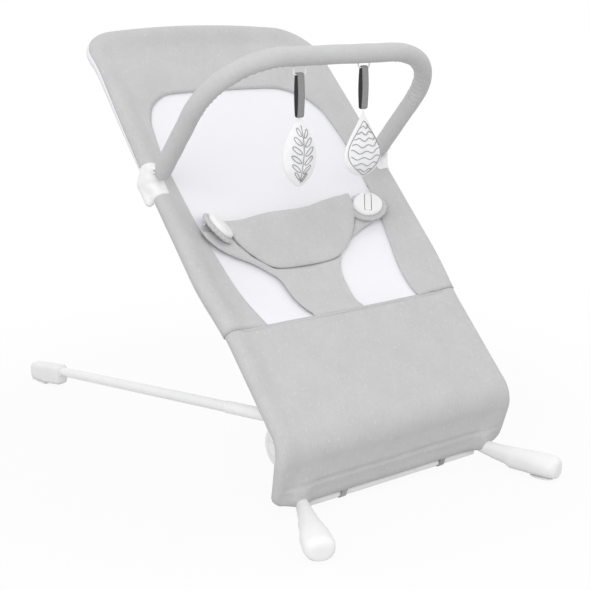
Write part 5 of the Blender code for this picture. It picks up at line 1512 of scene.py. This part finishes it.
@dataclass
class ToyBar:
    """The padded bar, the clamps that carry it, and the two leaf toys that hang from it."""

    at: float = 0.4040
    lift: float = 0.0272
    half: float = 0.1900
    top_half: float = 0.1870
    rise: float = 0.2150
    corner: float = 0.1000
    radius: float = 0.0127
    least_end: float = 0.02
    bare_end: float = 0.02
    end_power: float = 2.4
    stitched_at: float = 0.0135
    stitch_depth: float = 0.0007
    stitch_width: float = 0.0012
    wrinkle_depth: float = 0.0014
    wrinkles: tuple = (620.0, 2.2, 41.0)
    lumps: tuple = (38.0, 0.0006, 2.0)
    left_out: float = 0.0015
    right_in: float = 0.0030
    clamp_voxel: float = 0.0010
    clamp_smoothing: int = 48
    saddle: float = 0.0132
    saddle_x: float = 0.1943
    saddle_spots: tuple = (
        0.3770, 0.3775, 0.3787, 0.3805, 0.3900, 0.4050, 0.4220, 0.4290, 0.4308, 0.4320, 0.4325,
    )
    saddle_sizes: tuple = (0.90, 0.95, 0.985, 1.0, 1.0, 1.0, 1.0, 1.0, 0.985, 0.95, 0.90)
    clamp_forms: tuple = (
        ((0.2048, 0.4080, -0.0055), (0.2015, 0.4160, -0.0015), 0.0126, 0.0118),
        ((0.2050, 0.4050, -0.0070), (0.2073, 0.3818, -0.0125), 0.0116, 0.0066),
        ((0.1985, 0.4150, 0.0030), (0.2008, 0.4190, 0.0150), 0.0110, 0.0080),
        ((0.2000, 0.4050, 0.0080), (0.2010, 0.4075, 0.0265), 0.0098, 0.0070),
        ((0.2015, 0.4110, 0.0050), (0.2010, 0.4130, 0.0180), 0.0118, 0.0088),
        ((0.2010, 0.3960, -0.0020), (0.1990, 0.3920, 0.0040), 0.0120, 0.0098),
        ((0.2000, 0.3980, 0.0010), (0.2010, 0.4150, 0.0050), 0.0132, 0.0126),
        ((0.1930, 0.4040, 0.0060), (0.1960, 0.4040, 0.0130), 0.0090, 0.0060),
        ((0.2010, 0.3960, -0.0050), (0.2018, 0.3860, -0.0072), 0.0122, 0.0090),
        ((0.2030, 0.4060, 0.0020), (0.2020, 0.4060, 0.0110), 0.0126, 0.0108),
    )

    def place(self, x: Array, y: Array, z: Array) -> Array:
        """Points of the bar's frame, which sits at its pivots."""
        return SEAT.world(x, self.at + np.asarray(y), SEAT.knee + self.lift + np.asarray(z))

    def cover(self) -> None:
        """Build the padded cover with wrinkles in its bends and round stitched ends."""
        low = -self.radius
        route = rounded_path([
            ((-self.half - self.left_out, 0.0, low), 0.0),
            ((-self.top_half, 0.0, self.rise), self.corner),
            ((self.top_half, 0.0, self.rise), self.corner),
            ((self.half - self.right_in, 0.0, low), 0.0),
        ])
        path = resampled(self.place(*route.T), 360)
        along = lengths(path)
        end = np.minimum(along, along[-1] - along)
        size = self.radius * round_edge(np.maximum(end / self.radius, self.least_end), self.end_power)
        size = size - self.stitch_depth * hill(end - self.stitched_at, self.stitch_width)
        ahead, side, up = path_frames(path, SEAT.normal())
        bend = np.linalg.norm(np.gradient(ahead, axis=0), axis=1)
        bend = bend / bend.max()
        turns = circle(44)
        off = spread_round(side, up, turns)
        inward = unit(self.place(0.0, 0.0, self.rise * 0.5) - path)
        inner = np.clip((off * inward[:, None, :]).sum(-1), 0.0, 1.0)
        often, sway, seldom = self.wrinkles
        fold = np.sin(along * often + sway * np.sin(along * seldom))[:, None]
        wrinkle = fold * self.wrinkle_depth * bend[:, None] * inner
        smooth = path[:, None, :] + off * size[:, None, None]
        lumps = ripple(smooth, *self.lumps) * (end > self.bare_end)[:, None]
        points = path[:, None, :] + off * (size[:, None] + wrinkle + lumps)[..., None]
        made = skin("bar_cover", points, places(turns[None, :] * self.radius, along[:, None]))
        dress(made, Body.TOY_BAR, Finishes.bar, "toybar_cover")

    def clamps(self) -> None:
        """Build the smooth clamp shells: a saddle on the tube, an outer thumb lever and a pin's ear."""
        for side in Side:
            parts = []
            for n, (start, end, first, last) in enumerate(self.clamp_forms):
                ends = [SEAT.on_seat(side.value * x, u, h) for x, u, h in (start, end)]
                parts.append(bead(f"form_{n}", *ends, first, last))
            path = SEAT.on_seat(side.value * self.saddle_x, np.array(self.saddle_spots), 0.0)
            parts.append(tube("saddle", path, self.saddle * np.array(self.saddle_sizes), 40))
            made = fused(f"clamp_shell_{side.label}", parts, self.clamp_voxel, self.clamp_smoothing)
            dress(made, Body.SEAT, Finishes.plastic, f"toybar_clamp_{side.label}")

    def build(self) -> None:
        """Build the bar, its clamps and its toys."""
        self.cover()
        self.clamps()
        for toy in TOYS:
            toy.build()


class Motif(Enum):
    """The stitched drawings on the toys."""

    SPRIG = "sprig"
    RIPPLES = "ripples"


@dataclass
class LeafToy:
    """A stuffed leaf on a loop of webbing, with a stitched drawing on its front."""

    side: Side
    motif: Motif
    x: float
    hang_z: float
    width: float
    length: float
    thickness: float
    taper: float
    hang_y: float = -0.158675
    strap_length: float = 0.0532
    strap_width: float = 0.0107
    strap_bend: float = 0.0024
    strap_cloth: float = 0.0013
    fullness: float = 0.60
    roundness: float = 1.15
    drop: float = 0.0010
    thread_radius: float = 0.00054
    thread_lift: float = 0.0005
    hang_gap: float = 0.0003
    edge_share: float = 0.004
    deep_power: float = 1.25
    unevenness: tuple = (60.0, 0.0010, 4.0)
    sewn_rim: float = 0.05
    strap_swell: float = 0.0015
    strap_flat: float = 0.12

    @property
    def body(self) -> str:
        """The body that the toy rides on."""
        return f"toy_{self.side.label}"

    def top(self) -> float:
        """Height of the leaf's top."""
        return self.hang_z - self.drop - self.strap_length - self.strap_cloth - self.hang_gap

    def half_at(self, share: Array) -> tuple[Array, Array]:
        """Half width and half thickness of the leaf, by the share of its length from the top."""
        inside = np.clip(share, self.edge_share, 1.0 - self.edge_share)
        swell = np.sin(math.pi * inside**self.taper) ** self.fullness
        return self.width / 2.0 * swell, self.thickness / 2.0 * swell**self.deep_power

    def leaf(self) -> None:
        """Build the stuffed leaf with a sewn rim."""
        share = 0.5 - 0.5 * np.cos(np.linspace(0.04, math.pi - 0.03, 64))[:, None]
        half, deep = self.half_at(share)
        turns = circle(56)[None, :]
        cos, sin = np.cos(turns), np.sin(turns)
        x, y = self.x + half * cos, self.hang_y + deep * (np.sign(sin) * np.abs(sin) ** self.roundness)
        z = self.top() - self.length * share
        points = places(x, y, z)
        points[..., 1] += ripple(points, *self.unevenness) * (1.0 - hill(np.abs(cos) - 1.0, self.sewn_rim))
        made = skin(f"leaf_toy_{self.side.label}", points, places(x, z))
        dress(made, self.body, Finishes.toy, f"toy_leaf_{self.side.label}")

    def front(self, a: Array, share: Array) -> Array:
        """Points on the leaf's front, across it from -1 to 1 and down it as a share of its length."""
        half, deep = self.half_at(share)
        bulge = (1.0 - np.clip(a**2, 0.0, 1.0)) ** (self.roundness / 2.0)
        y = self.hang_y - deep * bulge - self.thread_lift
        return places(self.x + half * a, y, self.top() - self.length * share)

    def lines(self) -> list[tuple[Array, Array]]:
        """The drawing's lines, as across and down values."""
        if self.motif is Motif.SPRIG:
            s, t = np.linspace(0.10, 0.94, 40), np.linspace(0.0, WHOLE, 26)
            away, runs = 0.5 - 0.5 * np.cos(t), [(0.08 * np.sin(s * 5.0), s)]
            leaves = ((0.26, 0.52), (0.39, 0.58), (0.52, 0.56), (0.65, 0.52), (0.78, 0.46), (0.90, 0.34))
            for start, reach in leaves:
                for way in (-1.0, 1.0):
                    a = way * (0.10 + reach * away) + 0.08 * math.sin(start * 5.0)
                    runs.append((a, start + 0.014 * way - 0.10 * away + 0.036 * np.sin(t)))
            return runs
        runs, reaches = [], (0.60, 0.72, 0.78, 0.80, 0.80, 0.76, 0.66, 0.50)
        for n, (level, reach) in enumerate(zip(np.linspace(0.26, 0.90, 8), reaches)):
            a = np.linspace(-reach, reach, 40)
            runs.append((a, level + 0.020 * np.sin(a * 9.0 + n * 1.2) - 0.05 * a**2))
        t = np.linspace(0.0, WHOLE, 70)
        return runs + [(0.90 * np.sin(t), 0.57 - 0.40 * np.cos(t))]

    def drawing(self) -> None:
        """Stitch the drawing on the leaf's front."""
        runs = enumerate(self.lines())
        cords = [tube(f"line_{n}", self.front(a, s), self.thread_radius, 8) for n, (a, s) in runs]
        dress(joined(f"leaf_drawing_{self.side.label}", cords), self.body, Finishes.toy_thread)

    def strap(self) -> None:
        """Build the loop of webbing between the clip and the leaf, its inner faces painted near black as
        painted shade inside the loop.
        """
        bend = self.strap_bend + self.strap_cloth / 2.0
        top = self.hang_z - self.drop
        low = top - self.strap_length + self.strap_bend
        turns = np.linspace(0.0, math.pi, 12)
        spans = [(k, self.strap_swell * math.sin(k * math.pi)) for k in np.linspace(0.0, 1.0, 14)[1:-1]]
        route = [(bend * math.cos(t), top + bend * math.sin(t)) for t in turns]
        route += [(-bend - swell, top + (low - top) * k) for k, swell in spans]
        route += [(-bend * math.cos(t), low - bend * math.sin(t)) for t in turns]
        route += [(bend + swell, low + (top - low) * k) for k, swell in spans]
        route, count = np.array(route), len(route)
        ahead = unit(np.roll(route, -1, 0) - np.roll(route, 1, 0))
        out = np.stack([ahead[:, 1], -ahead[:, 0]], -1)
        across = np.linspace(-0.5, 0.5, 9)
        edge = np.sqrt(1.0 - np.abs(across * 2.0) ** 6) * 0.5 * self.strap_cloth
        across, edge = np.concatenate([across, across[::-1]]), np.concatenate([edge, -edge[::-1]])
        spot = route[:, None, :] + out[:, None, :] * edge[None, :, None]
        ring = places(self.x + across * self.strap_width, self.hang_y + spot[..., 0], spot[..., 1])
        sides = len(across)
        along = np.linspace(0.0, self.strap_flat, count + 1)[:, None]
        cloth = places((across * self.strap_width)[None, :], along)
        faces = grid_faces(count + 1, sides, 0, True)
        made = piece(f"toy_webbing_{self.side.label}", np.vstack([ring, ring[:1]]), faces, cloth)
        dress(made, self.body, Finishes.webbing, f"toy_strap_{self.side.label}")
        # The inner half of each ring gets the near-black finish: painted shade inside the loop, not a lining
        # of its own colour.
        made.data.materials.append(Finishes.lining.material())
        for number, face in enumerate(made.data.polygons):
            face.material_index = int(number % sides >= sides // 2)

    def build(self) -> None:
        """Build the toy."""
        self.leaf()
        self.drawing()
        self.strap()


TOYS = (
    LeafToy(Side.LEFT, Motif.SPRIG, -0.0670, 0.547391, 0.0535, 0.0900, 0.0180, 1.25),
    LeafToy(Side.RIGHT, Motif.RIPPLES, 0.0380, 0.552291, 0.0630, 0.0915, 0.0190, 1.90),
)


# The base


@dataclass
class Base:
    """The tubes and feet that stand on the floor."""

    leg_radius: float = 0.0085
    hub_x: float = 0.1572
    start_back: float = 0.0080
    start_rise: float = 0.0060
    rear_x: float = 0.2210
    rear_z: float = 0.0240
    top_z: float = 0.1195
    top_reach: float = 0.0330
    bend: float = 0.0260
    split: float = 0.1267
    reach: float = 0.6600
    front_reach: float = 0.1388
    rear_radius: float = 0.0077
    joint_steps: tuple = (0.0003, 0.0006, 0.0016, 0.0022, 0.0040)
    joint_radii: tuple = (0.0076, 0.0084, 0.0087, 0.0084)
    cap_length: float = 0.0740
    cap_socket: float = 0.0480
    cap_front: tuple = (0.2165, 0.3235)
    cap_back: tuple = (0.2321, 0.4063)
    cap_width: float = 0.0232
    cap_rise: float = 0.0115
    cap_drop: float = 0.0225
    cap_rounding: float = 0.0078
    cap_ends: tuple = ((0.0, 0.0066), (0.0004, 0.0040), (0.0014, 0.0022), (0.0030, 0.0009), (0.0052, 0.0001))
    rear_pad_from: float = 0.52
    rear_pad_inset: float = 0.0028
    rear_pad_corner: float = 0.0006
    clear: float = 0.0020
    stem_ahead: float = 0.0285
    stem_radius: float = 0.0067
    neck_x: float = 0.1565
    neck_z: float = 0.0246
    neck_width: float = 0.0158
    toe_x: float = 0.1962
    toe_width: float = 0.0388
    toe_powers: tuple = (0.78, 0.42, 0.32)
    toe_blunt: float = 0.9
    toe_drop: float = 0.004
    stem_start: tuple[float, float] = (0.0060, 0.0100)
    stem_blend: float = 8.0
    step_from: tuple[float, float] = (0.40, 0.03)
    toe_turns: tuple = (14.0, 28.0, 42.0, 54.0, 64.0, 73.0, 80.0, 85.0, 88.0, 89.5)
    foot_shares: tuple = (0.00, 0.16, 0.36, 0.60, 0.82, 1.00)
    foot_spreads: tuple = (0.00, 0.08, 0.28, 0.50, 0.90, 1.00)
    foot_heights: tuple = (0.0335, 0.0324, 0.0318, 0.0320, 0.0322, 0.0312)
    arch_shares: tuple = (0.0, 0.20, 0.42, 0.47)
    arch_heights: tuple = (0.0160, 0.0105, 0.0062, 0.0020)
    step: float = 0.0008
    pad_behind: float = 0.0060
    pad_half: tuple[float, float] = (0.0170, 0.0135)
    crossbar_ahead: float = 0.0195
    crossbar_radius: float = 0.0062
    crossbar_z: float = 0.0150

    def leg_path(self, side: Side) -> Array:
        """The centre line of one leg, from its hub to its rear end."""
        hub = (side.value * self.hub_x, SEAT.pivot_y + self.start_back, SEAT.pivot_z + self.start_rise)
        top = (side.value * self.hub_x, SEAT.pivot_y + self.top_reach, self.top_z)
        rear_y = SEAT.pivot_y + self.reach - self.cap_length + self.cap_socket
        rear = (side.value * self.rear_x, rear_y, self.rear_z)
        return rounded_path([(hub, 0.0), (top, self.bend), (rear, 0.0)])

    def legs(self, side: Side) -> None:
        """Build the bent front tube and the straight rear tube of one leg, with the lip at their joint."""
        path = self.leg_path(side)
        straight, rear = path[-2], path[-1]
        share = (SEAT.pivot_y + self.split - straight[1]) / (rear[1] - straight[1])
        joint, along = straight + (rear - straight) * share, unit(rear - straight)
        made = tube(f"leg_tube_front_{side.label}", np.vstack([path[:-1], joint]), self.leg_radius, 32)
        dress(made, Body.BASE, Finishes.enamel, f"leg_front_{side.label}")
        back = np.array([joint + along * k for k in self.joint_steps] + [rear])
        sizes = np.array([*self.joint_radii, self.rear_radius, self.rear_radius])
        made = tube(f"leg_tube_rear_{side.label}", back, sizes, 32)
        dress(made, Body.BASE, Finishes.enamel, f"leg_rear_{side.label}")

    def rear_cap(self, side: Side) -> None:
        """Build the end cap round a rear leg, and the thin pad under it.

        Args:
            side: The cap's side.
        """
        before, after = self.leg_path(side)[-2:]
        front, back = (np.array([side.value * x, y]) for x, y in (self.cap_front, self.cap_back))
        length = float(np.linalg.norm(back - front))
        along = (back - front) / length
        across = np.array([along[1], -along[0]])
        stations = [*self.cap_ends, *((d, 0.0) for d in np.linspace(0.010, length - 0.012, 9))]
        stations += [(length - d, inset) for d, inset in reversed(self.cap_ends)]
        caps, pads = [], []
        for distance, inset in stations:
            for rings, begin in ((caps, 0.0), (pads, self.rear_pad_from)):
                centre = front + along * (length * begin + distance * (1.0 - begin))
                leg = before + (after - before) * ((centre[1] - before[1]) / (after[1] - before[1]))
                if rings is caps:
                    corner, gap = max(self.cap_rounding - inset, self.step), inset
                    top, low = leg[2] + self.cap_rise - inset, max(leg[2] - self.cap_drop, self.clear) + inset
                else:
                    corner, gap = self.rear_pad_corner, inset + self.rear_pad_inset
                    top, low = self.clear + 0.0006, 0.0
                half = self.cap_width / 2.0 - gap - corner
                ring = arc_ring(half, low + corner, top - corner, corner, 8)
                rings.append([(*(centre + across * x), z) for x, z in ring])
        made = loft(f"rear_cap_{side.label}", np.array(caps))
        dress(made, Body.BASE, Finishes.plastic, f"rear_foot_{side.label}")
        made = loft(f"rear_pad_{side.label}", np.array(pads))
        dress(made, Body.BASE, Finishes.rubber, f"rear_sole_{side.label}")

    @staticmethod
    def foot_ring(centre: Array, ahead: Array, wide: float, tall: float, squared: float = 0.84) -> Array:
        """Make a rounded ring square to a heading.

        Args:
            centre: Its middle.
            ahead: The heading.
            wide: Its half width.
            tall: Its half height.
            squared: 1 for an ellipse, less for squarer corners.

        Returns:
            The ring's points.
        """
        ahead = unit(ahead)
        across = unit(np.cross(ahead, UPRIGHT))
        cosine, sine = squared_circle(40, squared)
        return centre + across * (wide * cosine)[:, None] + np.cross(across, ahead) * (tall * sine)[:, None]

    def front_foot(self, side: Side) -> None:
        """Build a front foot: stem, neck and splayed paddle, with the step round its toe.

        Args:
            side: The foot's side.
        """
        pivot = SEAT.pivot_y
        forward, under = self.stem_start
        top = np.array([side.value * self.hub_x, pivot - forward, SEAT.pivot_z - under])
        neck = np.array([side.value * self.neck_x, pivot - self.stem_ahead, self.neck_z])
        radius, neck_half = self.toe_width / 2.0, self.neck_width / 2.0
        down = neck * np.array([1.0, 1.0, 0.0])
        toe_y = pivot - self.front_reach + radius * self.toe_blunt
        toe = np.array([side.value * self.toe_x, toe_y, 0.0])
        heading = unit(toe - down)
        rings, stem = [], neck - top
        for share in (0.0, 0.2, 0.4, 0.6):
            rings.append(self.foot_ring(top + stem * share, stem, self.stem_radius, self.stem_radius, 1.0))
        for share in np.linspace(0.0, 1.0, 30):
            bottom = np.interp(share, self.arch_shares, self.arch_heights)
            tall = (np.interp(share, self.foot_shares, self.foot_heights) - bottom) / 2.0
            wide = neck_half + (radius - neck_half) * np.interp(share, self.foot_shares, self.foot_spreads)
            wide = wide + self.step * smoothstep((share - self.step_from[0]) / self.step_from[1])
            centre = down + (toe - down) * share
            centre[2] = bottom + tall
            ahead = heading + unit(stem) * max(1.0 - share * self.stem_blend, 0.0)
            rings.append(self.foot_ring(centre, ahead, wide, tall))
        height = self.foot_heights[-1] - self.clear
        reach_power, wide_power, tall_power = self.toe_powers
        for turn in np.radians(self.toe_turns):
            centre = toe + heading * radius * math.sin(turn) ** reach_power * self.toe_blunt
            centre[2] = self.clear + height / 2.0 - self.toe_drop * (1.0 - math.cos(turn))
            wide = (radius + self.step) * math.cos(turn) ** wide_power
            tall = height * math.cos(turn) ** tall_power / 2.0
            rings.append(self.foot_ring(centre, heading, wide, tall))
        made = loft(f"front_paddle_{side.label}", np.array(rings))
        dress(made, Body.BASE, Finishes.plastic, f"front_foot_{side.label}")
        self.front_pad(side, toe, heading)

    def front_pad(self, side: Side, toe: Array, heading: Array) -> None:
        """Build the thin rubber pad under a toe.

        Args:
            side: The foot's side.
            toe: The middle of the toe, on the floor.
            heading: The way the foot points.
        """
        cosine, sine = squared_circle(48, 0.8)
        across = np.cross(heading, UPRIGHT)
        middle = toe - heading * self.pad_behind
        rings = []
        for height, inset in ((0.0, 0.0008), (0.0004, 0.0002), (0.0010, 0.0), (self.clear + 0.0006, 0.0)):
            ring = middle + heading * ((self.pad_half[0] - inset) * cosine)[:, None]
            rings.append(ring + across * ((self.pad_half[1] - inset) * sine)[:, None] + UPRIGHT * height)
        made = loft(f"front_pad_{side.label}", np.array(rings))
        dress(made, Body.BASE, Finishes.rubber, f"front_sole_{side.label}")

    def crossbar(self) -> None:
        """Build the tube between the front feet."""
        half, y = self.neck_x - self.neck_width / 2.0, SEAT.pivot_y - self.crossbar_ahead
        path = places(np.linspace(-half, half, 9), y, self.crossbar_z)
        dress(tube("crossbar_tube", path, self.crossbar_radius), Body.BASE, Finishes.enamel, "crossbar")

    def build(self) -> None:
        """Build both legs, all four feet and the crossbar."""
        for side in Side:
            self.legs(side)
            self.rear_cap(side)
            self.front_foot(side)
        self.crossbar()


def dress_packed_nodes() -> None:
    """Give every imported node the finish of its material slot."""
    chosen = (
        Finishes.sling, Finishes.mesh, Finishes.webbing, Finishes.toy, Finishes.plastic, Finishes.enamel,
        Finishes.steel, Finishes.rubber,
    )
    finishes = {finish.slot.value: finish for finish in chosen}
    for name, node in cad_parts.items():
        for slot in node.material_slots:
            key = slot.material.name.split(".")[0] if slot.material else Slot.PLASTIC.value
            slot.material = finishes.get(key, Finishes.plastic).material()
        LOG.info("%s: packed node", name)


# Floor, light and camera


@dataclass
class Studio:
    """The pale floor, soft plain light, and the camera at the photograph's angle."""

    camera_at: tuple = (-0.892, -1.3378, 0.6545)
    pitch: float = math.radians(74.4)
    turn: float = math.radians(-34.75)
    lens: float = 67.1
    sensor: float = 36.0
    floor_half: float = 12.0
    floor_grey: float = 0.58
    floor_glow: float = 1.02
    shadow_reach: tuple[float, float] = (0.45, 1.10)
    shadow_share: float = 0.905
    world_level: float = 0.88
    aim_z: float = 0.25
    lamps: tuple = (
        ("key", (-1.6, -1.6, 1.4), 1.6, 18.0),
        ("fill", (2.0, -0.6, 1.6), 1.8, 6.0),
        ("top", (0.0, 0.6, 2.6), 2.0, 3.0),
    )

    def camera(self) -> None:
        """Place the camera."""
        data = bpy.data.cameras.new("camera")
        data.lens = self.lens
        data.sensor_width = self.sensor
        data.sensor_fit = "HORIZONTAL"
        data.clip_end = 50.0
        made = bpy.data.objects.new("camera", data)
        made.location = self.camera_at
        made.rotation_euler = (self.pitch, 0.0, self.turn)
        bpy.context.scene.collection.objects.link(made)
        bpy.context.scene.camera = made

    def floor(self) -> None:
        """Lay a plain white floor that keeps the part's soft shadow."""
        size = self.floor_half
        points = np.array([(-size, -size, 0.0), (size, -size, 0.0), (size, size, 0.0), (-size, size, 0.0)])
        made = piece("floor", points, [(0, 1, 2, 3)])
        material = bpy.data.materials.new("floor_white")
        material.use_nodes = True
        kit = NodeKit(material.node_tree)
        kit.tree.nodes.clear()
        diffuse = kit.add("ShaderNodeBsdfDiffuse", {"Color": (*[self.floor_grey] * 3, 1.0)})
        glow = kit.add("ShaderNodeEmission", {"Color": (1.0, 1.0, 1.0, 1.0), "Strength": self.floor_glow})
        spot = kit.add("ShaderNodeNewGeometry").outputs["Position"]
        away = kit.add("ShaderNodeVectorMath", {0: spot}, operation="LENGTH").outputs["Value"]
        share = kit.times(kit.seen(), kit.remap(away, *self.shadow_reach, (self.shadow_share, 1.0)))
        mix = kit.add("ShaderNodeMixShader", {0: share, 1: diffuse.outputs[0], 2: glow.outputs[0]})
        kit.add("ShaderNodeOutputMaterial", {"Surface": mix.outputs[0]})
        made.data.materials.append(material)

    def light(self) -> None:
        """Set the world and three soft lamps."""
        world = bpy.data.worlds.new("studio")
        bpy.context.scene.world = world
        world.use_nodes = True
        kit = NodeKit(world.node_tree)
        kit.tree.nodes.clear()
        level = kit.remap(kit.seen(), 0.0, 1.0, (self.world_level, 1.0))
        back = kit.add("ShaderNodeBackground", {"Color": (1.0, 1.0, 1.0, 1.0), "Strength": level})
        kit.add("ShaderNodeOutputWorld", {"Surface": back.outputs[0]})
        for name, spot, size, power in self.lamps:
            data = bpy.data.lights.new(name, "AREA")
            data.shape = "DISK"
            data.size = size
            data.energy = power
            lamp = bpy.data.objects.new(name, data)
            lamp.location = spot
            aim = Vector((0.0, 0.0, self.aim_z)) - Vector(spot)
            lamp.rotation_euler = aim.to_track_quat("-Z", "Y").to_euler()
            bpy.context.scene.collection.objects.link(lamp)
        bpy.context.scene.view_settings.view_transform = "Standard"

    def build(self) -> None:
        """Set up floor, light and camera."""
        self.camera()
        self.floor()
        self.light()


def main() -> None:
    """Build the looks, sub-assembly by sub-assembly."""
    logging.basicConfig(level=logging.INFO, format="%(message)s")
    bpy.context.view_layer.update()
    Studio().build()
    dress_packed_nodes()
    for part in (Sling(), WaistBelt(), ToyBar(), Base()):
        part.build()


if __name__ == "__main__":
    main()
